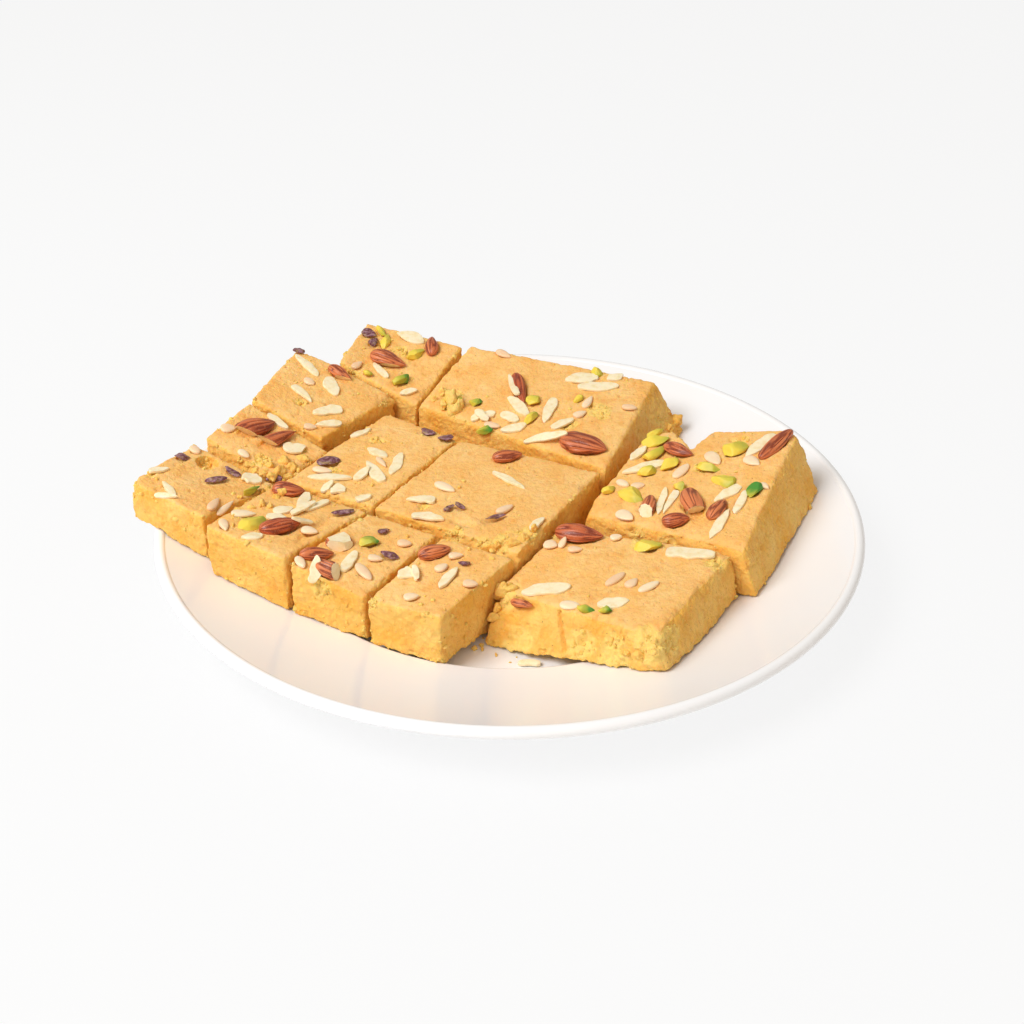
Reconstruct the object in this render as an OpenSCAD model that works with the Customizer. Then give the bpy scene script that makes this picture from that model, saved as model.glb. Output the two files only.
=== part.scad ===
// A round dinner plate heaped with hand-cut blocks of flaky milk and gram sweet,
// studded on top with almonds, almond slivers, melon seeds and pistachios.
// The plate's axis is the z axis and the table is at z = 0.
// The sweet was cut along straight lines; those lines are measured across and along
// the cut grid, whose middle is the plate's axis and which is turned on the plate.

/* [Plate] */
// Width of the plate over its rim
plate_d = 270; // [264:1:290]
// Height of the rim above the table
plate_h = 24; // [21:0.5:28]
// Width of the flat well
well_d = 164; // [156:1:168]
// How far the well's side runs outward
wall_run = 7; // [5:0.5:9]
// How far the well's side climbs to the flange
wall_rise = 5; // [3.5:0.5:6.5]
// Thickness of the plate under the well
floor_t = 4.5; // [3.5:0.5:6]
// Upright thickness of the flange
flange_t = 3.6; // [3:0.2:5]
// Thickness of the rolled lip
lip_d = 4.4; // [4:0.2:6]
// Outer width of the foot ring
foot_d = 152; // [130:1:158]
// Width of the foot ring's face
foot_w = 4; // [3:0.5:8]
// Height of the foot ring
foot_h = 2.5; // [1.5:0.5:4]

/* [Cut sweet] */
// Usual thickness of the slab
slab_t = 22; // [18:0.5:26]
// Turn of the cut grid on the plate, seen from above
slab_turn = -30; // [-45:1:-15]
// Width of the knife's cut between two blocks
cut_gap = 1; // [0.8:0.1:2]
// Width of the worn edge around each top face
edge_wear = 0.9; // [0.4:0.1:1.6]
// Air between a resting block and the glaze
rest_gap = 0.4; // [0.3:0.05:0.8]
// Radius of the round hole in the far left block
crater_r = 4.2; // [3:0.1:5]
// Width of the broken notch in the right block's back edge
notch_w = 19; // [12:0.5:22]
// Depth of that notch
notch_deep = 12; // [6:0.5:16]

/* [Cuts across the grid] */
// Outermost left edge of the heap
far_left_end = -128; // [-132:0.5:-124]
// Left edge of the two left blocks
left_end = -118; // [-121:0.5:-114]
// Cut to the right of the left blocks
left_cut = -78; // [-82:0.5:-75]
// Right edge of the back block
back_cut = -68.5; // [-72.5:0.5:-64.5]
// Cut to the left of the middle and front blocks
mid_cut = -37.5; // [-41:0.5:-34]
// Cut between the front block and the front middle block
front_cut = -6; // [-10:0.5:-2]
// Cut to the left of the right blocks
right_cut = 26; // [23:0.5:30]
// Right edge of the heap
right_end = 97; // [92:0.5:99]

/* [Cuts along the grid] */
// Front edge of the heap
front_edge = -91; // [-94:0.5:-87]
// Front edge of the front right block
right_front = -60; // [-64:0.5:-56]
// Cut behind the front row
front_row = -41; // [-45:0.5:-38]
// Cut behind the left block
left_row = -9; // [-13:0.5:-5]
// Cut between the two right blocks
right_row = -1.5; // [-5.5:0.5:2.5]
// Cut behind the middle row
mid_row = 29; // [26:0.5:33]
// Cut in front of the back block
back_row = 38; // [35:0.5:42]
// Back edge of the right block
right_back = 73; // [69:0.5:77]
// Back edge of the back block
back_left_edge = 80; // [76:0.5:84]
// Back edge of the back right block
back_edge = 97; // [92:0.5:100]

/* [Nuts and seeds] */
// Length of a whole almond
almond_l = 20; // [16:0.5:22]
// Width of an almond
almond_w = 11; // [8:0.5:12]
// Thickness of an almond
almond_t = 7; // [5:0.5:8]
// Length of an almond sliver
sliver_l = 16; // [12:0.5:17]
// Width of an almond sliver
sliver_w = 5; // [3:0.5:5.5]
// Thickness of an almond sliver
sliver_t = 1.8; // [1.2:0.1:2.6]
// Length of a melon seed
seed_l = 9; // [6:0.5:9.5]
// Width of a melon seed
seed_w = 5; // [3:0.5:5.5]
// Thickness of a melon seed
seed_t = 2.4; // [1.6:0.1:3]
// Length of a chopped piece of pistachio
pistachio_l = 8; // [6:0.5:8.5]
// Width of a chopped piece of pistachio
pistachio_w = 6; // [4:0.5:6.5]
// Thickness of a chopped piece of pistachio
pistachio_t = 4; // [3:0.5:5]
// Air between a nut and the dent that it lies in
dent_gap = 0.1; // [0.05:0.05:0.2]

/* [Hidden] */
$fn = 96;
plate_r = plate_d / 2;
well_r = well_d / 2;
foot_r = foot_d / 2;
lip_r = lip_d / 2;
well_z = foot_h + floor_t;
knee_r = well_r + wall_run;
knee_z = well_z + wall_rise;
rim_in_r = plate_r - lip_r;
flange_slope = (plate_h - knee_z) / (plate_r - knee_r);
// Steps in the rounded side of the well, and in a block's faces
wall_steps = 8;
face_steps = 4;
// Extra length of cutting bodies
overrun = 1;

// Share of a nut's thickness that its middle stands above the face it lies in
almond_up_share = 0.15;
sliver_up_share = 0.2;
seed_up_share = 0.15;
pistachio_up_share = 0.15;
// Share of a kernel's thickness that is left at its rim, at the pointed ends
rim_share = 0.3;
// Outline of a chopped pistachio piece
chopped_shares = [
    [-0.5, -0.1], [-0.2, -0.5], [0.35, -0.4], [0.5, 0.15], [0.1, 0.5], [-0.35, 0.35]
];

// Place and size of the loose sliver on the well, and its turn
loose_x_share = 0.56;
loose_y_share = -0.805;
loose_size_share = 0.5;
loose_turn = 30;

// Each block: its cell on the grid, then for the corners front left, front right,
// back right and back left how far they lie inside the cell, the thickness there,
// and how far the foot spreads past the top
no_toe_shares = [[0, 0], [0, 0], [0, 0], [0, 0]];
far_left_in_shares = [[0.05, 0.14], [0.04, 0.13], [0.03, 0.03], [0, 0.08]];
far_left_thick_shares = [0.76, 0.86, 0.84, 0.82];
far_left = [[left_end, left_cut], [front_edge, front_row],
    far_left_in_shares, far_left_thick_shares, no_toe_shares];
front_left_in_shares = [[0.1, 0], [0.02, 0.01], [0, 0], [0, 0.05]];
front_left_thick_shares = [0.94, 1.03, 1.09, 0.94];
front_left = [[left_cut, mid_cut], [front_edge, front_row],
    front_left_in_shares, front_left_thick_shares, no_toe_shares];
front_in_shares = [[0, 0.02], [0.03, 0.06], [0, 0.02], [0, 0]];
front_thick_shares = [0.99, 0.84, 1.09, 1.09];
front = [[mid_cut, front_cut], [front_edge, front_row],
    front_in_shares, front_thick_shares, no_toe_shares];
front_mid_in_shares = [[0, 0.06], [0.08, 0.09], [0, 0], [0.05, 0.02]];
front_mid_thick_shares = [0.84, 0.9, 1.09, 1.09];
front_mid = [[front_cut, right_cut], [front_edge, front_row],
    front_mid_in_shares, front_mid_thick_shares, no_toe_shares];
front_right_in_shares = [[0, 0.1], [0.1, 0], [0.05, 0], [0.01, 0.12]];
front_right_thick_shares = [0.82, 0.65, 0.9, 0.91];
front_right_toe_shares = [[0, 0.18], [0.09, 0.02], [0.05, 0], [0, 0]];
front_right = [[right_cut, right_end], [right_front, right_row],
    front_right_in_shares, front_right_thick_shares, front_right_toe_shares];
right_in_shares = [[0.06, 0.05], [0, 0], [0.11, 0], [0.04, 0.12]];
right_thick_shares = [0.95, 0.91, 1.24, 1.23];
right_toe_shares = [[0, 0], [0.1, 0], [0.15, 0], [0, 0.02]];
right = [[right_cut, right_end], [right_row, right_back],
    right_in_shares, right_thick_shares, right_toe_shares];
middle_in_shares = [[0, 0.04], [0, 0.04], [0.01, 0], [0, 0.07]];
middle_thick_shares = [1.09, 1.09, 1.09, 1.09];
middle = [[mid_cut, right_cut], [front_row, mid_row],
    middle_in_shares, middle_thick_shares, no_toe_shares];
mid_left_in_shares = [[0, 0], [0, 0.04], [0, 0.08], [0.02, 0]];
mid_left_thick_shares = [0.94, 1.09, 1.09, 1.04];
mid_left = [[left_cut, mid_cut], [front_row, mid_row],
    mid_left_in_shares, mid_left_thick_shares, no_toe_shares];
left_in_shares = [[0.05, 0], [0.03, 0.03], [0.02, 0], [0, 0.04]];
left_thick_shares = [0.9, 0.78, 1.04, 1.06];
left = [[left_end, left_cut], [front_row, left_row],
    left_in_shares, left_thick_shares, no_toe_shares];
back_left_in_shares = [[0.19, 0], [0.12, 0.03], [0, 0], [0, 0.04]];
back_left_thick_shares = [1.05, 1.11, 1.05, 1.02];
back_left = [[far_left_end, left_cut], [left_row, back_row],
    back_left_in_shares, back_left_thick_shares, no_toe_shares];
back_in_shares = [[0.2, 0], [0, 0.02], [0.03, 0], [0.02, 0.17]];
back_thick_shares = [1.08, 1.09, 1.15, 0.97];
back = [[left_end, back_cut], [back_row, back_left_edge],
    back_in_shares, back_thick_shares, no_toe_shares];
back_right_in_shares = [[0, 0.15], [0, 0.02], [0.1, 0], [0, 0.21]];
back_right_thick_shares = [1.09, 1.09, 1.11, 1.15];
back_right_toe_shares = [[0, 0], [0, 0], [0.14, 0.06], [0, 0.04]];
back_right = [[back_cut, right_cut], [mid_row, back_edge],
    back_right_in_shares, back_right_thick_shares, back_right_toe_shares];

// Middle of the round hole on the far left block and of the notch in the right block,
// and how far across the notch its deepest point lies
crater_shares = [0.31, 0.83];
notch_share = 0.28;
notch_tip_share = 0.8;

// Each nut: its place across and along the top of its block, its turn in degrees,
// and its length and width as shares of its kind's usual size
far_left_sliver_shares = [
    [0.4, 0.15, -25, 0.7, 0.5],
    [0.1, 0.35, 60, 0.5, 0.5],
    [0.8, 0.9, 10, 0.5, 1.2]
];
far_left_seed_shares = [
    [0.9, 0.25, -70, 1.1, 0.7],
    [0.1, 0.9, -20, 0.6, 0.8]
];
far_left_pistachio_shares = [
    [0.6, 0.6, 70, 1, 0.5],
    [0.1, 0.7, 40, 0.6, 0.6],
    [0.95, 0.7, 85, 0.9, 0.5],
    [0.6, 0.85, -10, 0.8, 0.5]
];
front_left_almond_shares = [
    [0.6, 0.35, 65, 0.8, 0.7],
    [0.2, 0.9, 35, 0.6, 0.7]
];
front_left_sliver_shares = [
    [0.5, 0.1, 55, 0.5, 0.7],
    [0.45, 0.45, 10, 0.5, 0.8],
    [0.4, 0.6, 70, 0.5, 0.8],
    [0.45, 0.8, -65, 1.1, 0.7]
];
front_left_seed_shares = [
    [0.15, 0.1, -40, 0.9, 0.7],
    [0.15, 0.35, 40, 1, 1],
    [0.85, 0.45, 15, 0.7, 1]
];
front_left_pistachio_shares = [
    [0.35, 0.25, -90, 1.2, 1.1],
    [0.85, 0.85, 55, 1, 0.5]
];
front_almond_shares = [
    [0.45, 0.1, 0, 0.6, 0.6],
    [0.15, 0.2, 50, 0.6, 0.5],
    [0.2, 0.45, 5, 0.5, 0.9]
];
front_sliver_shares = [
    [0.5, 0.3, -75, 0.8, 0.6]
];
front_seed_shares = [
    [0.1, 0.05, -30, 0.7, 0.7],
    [0.75, 0.25, -25, 1.1, 0.8],
    [0.7, 0.45, 20, 0.6, 0.7],
    [0.8, 0.75, 20, 0.6, 0.8]
];
front_pistachio_shares = [
    [0.8, 0.55, 5, 0.7, 0.7],
    [0.45, 0.6, 65, 0.8, 0.8],
    [0.45, 0.8, 70, 0.5, 0.5]
];
front_mid_almond_shares = [
    [0.15, 0.75, 55, 0.6, 0.6]
];
front_mid_sliver_shares = [
    [0.1, 0.4, 65, 0.4, 1],
    [0.6, 0.5, -85, 0.9, 0.6]
];
front_mid_seed_shares = [
    [0.45, 0.15, 35, 0.6, 0.8],
    [0.9, 0.5, 20, 0.6, 0.8],
    [0.4, 0.6, 75, 0.6, 0.8],
    [0.4, 0.8, 35, 0.6, 0.7]
];
front_right_almond_shares = [
    [0.15, 0.9, 10, 0.9, 0.8]
];
front_right_sliver_shares = [
    [0.25, 0.15, 35, 1.1, 1.1],
    [0.65, 0.2, 35, 0.7, 1],
    [0.8, 0.9, 15, 1.1, 1.1]
];
front_right_seed_shares = [
    [0.45, 0.05, 10, 0.8, 0.9],
    [0.55, 0.45, 75, 1.1, 0.7],
    [0.65, 0.45, 80, 0.7, 0.8],
    [0.75, 0.45, 65, 1, 0.7],
    [0.05, 0.7, 0, 0.6, 1.1],
    [0.2, 0.7, 20, 0.6, 0.7],
    [0.35, 0.95, 35, 0.5, 0.7]
];
front_right_pistachio_shares = [
    [0.55, 0.05, 20, 0.6, 0.5],
    [0.65, 0.1, 20, 0.5, 0.5],
    [0.55, 0.9, 20, 1.1, 1]
];
right_almond_shares = [
    [0.55, 0.1, 30, 0.5, 0.5],
    [0.35, 0.15, -75, 0.7, 0.5],
    [0.6, 0.25, -55, 1, 0.7],
    [0.75, 0.25, 85, 0.6, 0.5],
    [0.3, 0.75, -15, 0.7, 0.5],
    [0.9, 0.85, 75, 1, 0.5]
];
right_sliver_shares = [
    [0.8, 0.15, -90, 1.1, 0.6],
    [0.4, 0.25, -75, 1.1, 0.5],
    [0.45, 0.25, -85, 0.9, 0.5],
    [0.85, 0.35, -85, 0.9, 0.6],
    [0.75, 0.4, 65, 0.8, 0.8],
    [0.15, 0.55, 40, 1.1, 0.8],
    [0.05, 0.7, 80, 0.7, 0.7],
    [0.8, 0.85, 70, 1.1, 1]
];
right_seed_shares = [
    [0.25, 0.05, -20, 0.9, 1.1],
    [0.1, 0.35, -20, 0.7, 0.7],
    [0.2, 0.35, 30, 0.6, 0.8],
    [0.95, 0.5, -30, 0.5, 0.5],
    [0.4, 0.55, 80, 1.1, 0.9],
    [0.55, 0.7, -40, 1.1, 1.1],
    [0.8, 0.7, -25, 0.9, 1]
];
right_pistachio_shares = [
    [0.05, 0.25, 60, 0.6, 0.6],
    [0.2, 0.25, -20, 1.2, 1],
    [0.45, 0.4, 15, 0.6, 0.6],
    [0.9, 0.45, 85, 1, 0.7],
    [0.2, 0.5, 45, 0.8, 0.7],
    [0.7, 0.5, -10, 1.2, 0.8],
    [0.3, 0.6, 65, 0.9, 0.9],
    [0.55, 0.6, 0, 1.1, 0.7],
    [0.15, 0.7, 60, 1.1, 0.8],
    [0.65, 0.8, 60, 1.2, 1.2],
    [0.1, 0.85, 25, 1.1, 1],
    [0.05, 0.95, 60, 0.9, 0.5]
];
middle_almond_shares = [
    [0.4, 0.9, 45, 0.6, 0.5]
];
middle_sliver_shares = [
    [0.35, 0.05, 15, 0.8, 0.8],
    [0.2, 0.2, 25, 0.7, 0.8],
    [0.95, 0.3, 85, 0.6, 0.5],
    [0.55, 0.65, -15, 1.1, 0.5]
];
middle_seed_shares = [
    [0.7, 0.35, 70, 0.9, 0.7],
    [0.25, 0.4, -10, 1.1, 0.9]
];
middle_pistachio_shares = [
    [0.4, 0.2, 70, 0.5, 0.5],
    [0.45, 0.25, -25, 0.6, 0.5],
    [0.7, 0.25, 55, 0.9, 0.5]
];
mid_left_sliver_shares = [
    [0.55, 0.05, 80, 0.4, 0.9],
    [0.85, 0.05, 65, 0.4, 0.6],
    [0.35, 0.15, 30, 1.1, 0.7],
    [0.65, 0.35, -35, 1.1, 0.8],
    [0.75, 0.5, -70, 1.1, 0.7],
    [0.45, 0.55, -10, 0.7, 0.7],
    [0.05, 0.7, 75, 0.7, 0.6]
];
mid_left_seed_shares = [
    [0.2, 0.2, 15, 0.9, 0.8]
];
mid_left_pistachio_shares = [
    [0.15, 0.3, 45, 0.9, 1],
    [0.65, 0.95, -15, 0.8, 0.7],
    [0.9, 0.95, 10, 0.7, 0.8]
];
left_almond_shares = [
    [0.3, 0.6, 70, 0.9, 0.8],
    [0.55, 0.6, 75, 1, 0.5]
];
left_sliver_shares = [
    [0.75, 0.7, 55, 0.6, 1],
    [0.4, 0.95, -5, 0.7, 0.5]
];
left_seed_shares = [
    [0.45, 0.1, -5, 0.6, 0.7],
    [0.1, 0.35, 50, 0.7, 1]
];
back_left_almond_shares = [
    [0.5, 0.9, -5, 0.6, 0.5]
];
back_left_sliver_shares = [
    [0.9, 0.2, 50, 0.7, 0.6],
    [0.75, 0.35, 55, 0.8, 0.9],
    [0.4, 0.4, -15, 0.8, 0.6],
    [0.55, 0.7, -40, 0.8, 1],
    [0.2, 0.8, -20, 1.1, 0.7]
];
back_left_seed_shares = [
    [0.8, 0.05, 35, 0.6, 0.7],
    [0.35, 0.6, -5, 0.6, 0.8]
];
back_left_pistachio_shares = [
    [0.05, 0.95, 35, 0.6, 0.6]
];
back_almond_shares = [
    [0.45, 0.4, 10, 0.8, 0.7],
    [0.75, 0.85, -60, 0.6, 0.5]
];
back_sliver_shares = [
    [0.85, 0.1, 55, 0.5, 0.5],
    [0.45, 0.2, -20, 0.7, 0.5],
    [0.5, 0.9, 0, 0.9, 1.1]
];
back_seed_shares = [
    [0.2, 0.1, 85, 0.7, 0.7]
];
back_pistachio_shares = [
    [0.35, 0.05, 5, 0.5, 0.5],
    [0.7, 0.2, 60, 0.9, 0.9],
    [0.2, 0.6, -85, 0.7, 0.6],
    [0.65, 0.65, 65, 1, 0.8],
    [0.3, 0.7, -75, 1.2, 0.6],
    [0.1, 0.75, -15, 0.8, 0.8],
    [0.2, 0.85, -25, 0.9, 0.5]
];
back_right_almond_shares = [
    [0.85, 0.15, 0, 1, 1],
    [0.4, 0.55, -50, 1, 0.5]
];
back_right_sliver_shares = [
    [0.3, 0.1, -90, 0.5, 0.7],
    [0.5, 0.1, 45, 0.7, 0.8],
    [0.35, 0.15, 55, 0.4, 0.8],
    [0.45, 0.2, -15, 0.6, 0.8],
    [0.7, 0.3, 60, 0.7, 0.7],
    [0.45, 0.35, -30, 1, 0.8],
    [0.6, 0.4, -75, 1.1, 0.8],
    [0.75, 0.8, 30, 1.1, 1],
    [0.65, 0.85, 35, 0.9, 1.1],
    [0.8, 0.95, 55, 0.5, 0.8]
];
back_right_seed_shares = [
    [0.4, 0.05, 5, 0.8, 0.7],
    [0.75, 0.45, 60, 0.7, 0.8],
    [0.75, 0.6, -85, 1, 0.7],
    [0.95, 0.65, 15, 0.7, 0.7],
    [0.2, 0.95, -10, 0.9, 0.8]
];
back_right_pistachio_shares = [
    [0.15, 0.15, 10, 1.2, 1.2],
    [0.25, 0.25, 45, 0.6, 0.7],
    [0.55, 0.25, 85, 0.8, 0.6],
    [0.5, 0.45, 60, 0.8, 0.8],
    [0.7, 0.6, 50, 0.5, 0.5],
    [0.7, 0.95, -25, 0.7, 0.6]
];

// Height of the glaze at a distance from the plate's axis
function glaze_z(r) =
    r <= well_r ? well_z
    : r < knee_r ? well_z + wall_rise * (1 - cos(180 * (r - well_r) / wall_run)) / 2
    : knee_z + (r - knee_r) * flange_slope;

// Height of the plate's underside at a distance from its axis, beside the foot ring
function under_z(r) =
    r <= well_r ? foot_h
    : r < knee_r ? foot_h + (knee_z - flange_t - foot_h) * (r - well_r) / wall_run
    : glaze_z(r) - flange_t;

// Outline of the eating surface from the axis to a radius, lifted by a gap
function glaze_outline(r_end, up) = concat(
    [[0, well_z + up]],
    [for (i = [0 : wall_steps])
        let (r = well_r + wall_run * i / wall_steps)
        [r, glaze_z(r) + up]],
    [[r_end, glaze_z(r_end) + up]]
);

// Plan corners of a block, in from its cell and out again by its toe
function corner(block, i, toes) =
    let (x0 = block[0][0] + cut_gap / 2)
    let (x1 = block[0][1] - cut_gap / 2)
    let (y0 = block[1][0] + cut_gap / 2)
    let (y1 = block[1][1] - cut_gap / 2)
    let (inset = block[2][i] - toes * block[4][i])
    let (dx = inset[0] * (x1 - x0))
    let (dy = inset[1] * (y1 - y0))
    [i == 0 || i == 3 ? x0 + dx : x1 - dx, i < 2 ? y0 + dy : y1 - dy];

function plan(block, toes) = [for (i = [0 : 3]) corner(block, i, toes)];

// Corners of the top face and of the bottom, with their heights; the bottom runs into
// the space that the plate takes, which then trims it
function crown(block) =
    let (p = plan(block, 0))
    [for (i = [0 : 3]) [p[i][0], p[i][1], glaze_z(norm(p[i])) + block[3][i] * slab_t]];

function sole(block) =
    let (p = plan(block, 1))
    [for (i = [0 : 3]) [p[i][0], p[i][1], glaze_z(norm(p[i])) + rest_gap - overrun]];

// A point on the face between four corners
function between(c, s, t) =
    c[0] * (1 - s) * (1 - t) + c[1] * s * (1 - t) + c[2] * s * t + c[3] * (1 - s) * t;

function unit(v) = v / norm(v);

function flat(v) = [v[0], v[1]];

// Four corners drawn in by a distance from both edges that meet there
function drawn_in(c, gap) = [for (i = [0 : 3])
    let (a = unit(flat(c[(i + 1) % 4] - c[i])))
    let (b = unit(flat(c[(i + 3) % 4] - c[i])))
    let (move = gap * (a + b) / abs(a[0] * b[1] - a[1] * b[0]))
    [c[i][0] + move[0], c[i][1] + move[1], c[i][2]]];

function lowered(c, drop) = [for (p = c) [p[0], p[1], p[2] - drop]];

// Points of a face as rows of a grid, and the grid steps around its border
function face_points(c) = [for (j = [0 : face_steps], i = [0 : face_steps])
    between(c, i / face_steps, j / face_steps)];

function grid_at(i, j) = j * (face_steps + 1) + i;

border = concat(
    [for (i = [0 : face_steps - 1]) grid_at(i, 0)],
    [for (j = [0 : face_steps - 1]) grid_at(face_steps, j)],
    [for (i = [0 : face_steps - 1]) grid_at(face_steps - i, face_steps)],
    [for (j = [0 : face_steps - 1]) grid_at(0, face_steps - j)]
);

grid_size = (face_steps + 1) * (face_steps + 1);
border_size = 4 * face_steps;

// Two triangles for each square of a face, facing up or down
function face_tris(start, up) = [
    for (j = [0 : face_steps - 1], i = [0 : face_steps - 1])
    let (a = start + grid_at(i, j))
    let (b = start + grid_at(i + 1, j))
    let (c = start + grid_at(i + 1, j + 1))
    let (d = start + grid_at(i, j + 1))
    each up ? [[a, c, b], [a, d, c]] : [[a, b, c], [a, c, d]]];

// Two triangles for each step of the band between an upper and a lower border
function band_tris(top, low) = [
    for (i = [0 : border_size - 1])
    let (k = (i + 1) % border_size)
    each [[top[i], top[k], low[k]], [top[i], low[k], low[i]]]];

module cut_block(block) {
    top = crown(block);
    top_face = face_points(drawn_in(top, edge_wear));
    low_face = face_points(sole(block));
    shoulder_grid = face_points(lowered(top, edge_wear));
    shoulder = [for (i = border) shoulder_grid[i]];
    shoulder_at = 2 * grid_size;
    shoulder_ids = [for (i = [0 : border_size - 1]) shoulder_at + i];
    low_ids = [for (i = border) grid_size + i];
    polyhedron(
        points = concat(top_face, low_face, shoulder),
        faces = concat(
            face_tris(0, true),
            face_tris(grid_size, false),
            band_tris(border, shoulder_ids),
            band_tris(shoulder_ids, low_ids)
        )
    );
}

// The space under the resting blocks: the plate, grown by the gap, and as far past
// the rim as a block hangs over it
module glaze_room() {
    room_r = plate_r + slab_t;
    rotate_extrude()
        polygon(concat(
            [[0, 0]],
            glaze_outline(room_r, rest_gap),
            [[room_r, 0]]
        ));
    rotate_extrude()
        translate([rim_in_r, plate_h - lip_r])
            circle(r = lip_r + rest_gap);
}

// Puts its children on the top face of a block, flat on the slope there
module on_top(block, s, t) {
    c = crown(block);
    across = (c[1] - c[0]) * (1 - t) + (c[2] - c[3]) * t;
    along = (c[3] - c[0]) * (1 - s) + (c[2] - c[1]) * s;
    up = unit(cross(across, along));
    translate(between(c, s, t))
        rotate(a = acos(up[2]), v = [-up[1], up[0], 0])
            children();
}

// Radius of the arc over a chord, for a lens of a width
function lens_r(l, w) = (l * l + w * w) / (4 * w);

// A thin slice with pointed ends
module slice(l, w, t) {
    side_r = lens_r(l, w);
    linear_extrude(height = t, center = true)
        intersection() {
            translate([0, side_r - w / 2]) circle(r = side_r);
            translate([0, w / 2 - side_r]) circle(r = side_r);
        }
}

// A pointed kernel with a domed top and bottom that leave it a thin rim
module kernel(l, w, t) {
    dome_r = lens_r(l, t * (1 - rim_share));
    intersection() {
        slice(l, w, t + 2 * overrun);
        translate([0, 0, dome_r - t / 2]) sphere(r = dome_r);
        translate([0, 0, t / 2 - dome_r]) sphere(r = dome_r);
    }
}

// A piece of pistachio with knife-cut sides
module chopped(l, w, t) {
    linear_extrude(height = t, center = true)
        polygon([for (p = chopped_shares) [p[0] * l, p[1] * w]]);
}

// Nuts of one kind on a block; grow makes the dents that they lie in
module almonds(block, rows, grow) {
    for (row = rows)
        on_top(block, row[0], row[1])
            rotate([0, 0, row[2]])
                translate([0, 0, almond_up_share * almond_t])
                    kernel(row[3] * almond_l + 2 * grow, row[4] * almond_w + 2 * grow,
                        almond_t * sqrt(row[4]) + 2 * grow);
}

module slivers(block, rows, grow) {
    for (row = rows)
        on_top(block, row[0], row[1])
            rotate([0, 0, row[2]])
                translate([0, 0, sliver_up_share * sliver_t])
                    slice(row[3] * sliver_l + 2 * grow, row[4] * sliver_w + 2 * grow,
                        sliver_t + 2 * grow);
}

module seeds(block, rows, grow) {
    for (row = rows)
        on_top(block, row[0], row[1])
            rotate([0, 0, row[2]])
                translate([0, 0, seed_up_share * seed_t])
                    kernel(row[3] * seed_l + 2 * grow, row[4] * seed_w + 2 * grow,
                        seed_t + 2 * grow);
}

module pistachios(block, rows, grow) {
    for (row = rows)
        on_top(block, row[0], row[1])
            rotate([0, 0, row[2]])
                translate([0, 0, pistachio_up_share * pistachio_t])
                    chopped(row[3] * pistachio_l + 2 * grow, row[4] * pistachio_w + 2 * grow,
                        pistachio_t * sqrt(row[4]) + 2 * grow);
}

// A finished block: cut, bedded on the plate and dented by its nuts
module sweet(block, almond_rows, sliver_rows, seed_rows, pistachio_rows) {
    color("#f2b45c")
        rotate([0, 0, slab_turn])
            difference() {
                cut_block(block);
                glaze_room();
                almonds(block, almond_rows, dent_gap);
                slivers(block, sliver_rows, dent_gap);
                seeds(block, seed_rows, dent_gap);
                pistachios(block, pistachio_rows, dent_gap);
                children();
            }
}

module brown_almonds(block, rows) {
    color("#a8452c") rotate([0, 0, slab_turn]) almonds(block, rows, 0);
}

module ivory_slivers(block, rows) {
    color("#f7e6bd") rotate([0, 0, slab_turn]) slivers(block, rows, 0);
}

module pale_seeds(block, rows) {
    color("#f3d6ac") rotate([0, 0, slab_turn]) seeds(block, rows, 0);
}

module green_pistachios(block, rows) {
    color("#c9bb4e") rotate([0, 0, slab_turn]) pistachios(block, rows, 0);
}

module plate() {
    foot_in_r = foot_r - foot_w;
    root = flange_t / 2;
    color("#faf9f6") {
        rotate_extrude()
            polygon(concat(
                [[0, foot_h], [well_r, foot_h], [knee_r, under_z(knee_r)]],
                [[rim_in_r, under_z(rim_in_r)]],
                [for (i = [wall_steps + 2 : -1 : 0]) glaze_outline(rim_in_r, 0)[i]]
            ));
        rotate_extrude()
            polygon([
                [foot_in_r, 0], [foot_r, 0],
                [foot_r, under_z(foot_r) + root], [foot_in_r, under_z(foot_in_r) + root]
            ]);
        rotate_extrude()
            translate([rim_in_r, plate_h - lip_r])
                circle(r = lip_r);
    }
}

// A sliver that fell on the well, at the foot of the front right block
module loose_sliver() {
    reach = well_r * loose_x_share;
    color("#f7e6bd")
        rotate([0, 0, slab_turn])
            translate([reach, well_r * loose_y_share, well_z + dent_gap + sliver_t / 2])
                rotate([0, 0, loose_turn])
                    slice(sliver_l * loose_size_share, sliver_w * loose_size_share, sliver_t);
}

// A round hole left in the far left block by a lost nut
module crater() {
    on_top(far_left, crater_shares[0], crater_shares[1])
        sphere(r = crater_r);
}

// A broken notch in the back edge of the right block
module notch() {
    translate(between(crown(right), notch_share, 1) - [notch_w / 2, 0, 0])
        linear_extrude(height = 2 * plate_h + 2 * slab_t, center = true)
            polygon([[0, overrun], [notch_tip_share * notch_w, -notch_deep], [notch_w, overrun]]);
}

module far_left_block() {
    sweet(far_left, [], far_left_sliver_shares,
        far_left_seed_shares, far_left_pistachio_shares)
        crater();
}

module far_left_slivers() {
    ivory_slivers(far_left, far_left_sliver_shares);
}

module far_left_seeds() {
    pale_seeds(far_left, far_left_seed_shares);
}

module far_left_pistachios() {
    green_pistachios(far_left, far_left_pistachio_shares);
}

module front_left_block() {
    sweet(front_left, front_left_almond_shares, front_left_sliver_shares,
        front_left_seed_shares, front_left_pistachio_shares);
}

module front_left_almonds() {
    brown_almonds(front_left, front_left_almond_shares);
}

module front_left_slivers() {
    ivory_slivers(front_left, front_left_sliver_shares);
}

module front_left_seeds() {
    pale_seeds(front_left, front_left_seed_shares);
}

module front_left_pistachios() {
    green_pistachios(front_left, front_left_pistachio_shares);
}

module front_block() {
    sweet(front, front_almond_shares, front_sliver_shares,
        front_seed_shares, front_pistachio_shares);
}

module front_almonds() {
    brown_almonds(front, front_almond_shares);
}

module front_slivers() {
    ivory_slivers(front, front_sliver_shares);
}

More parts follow.
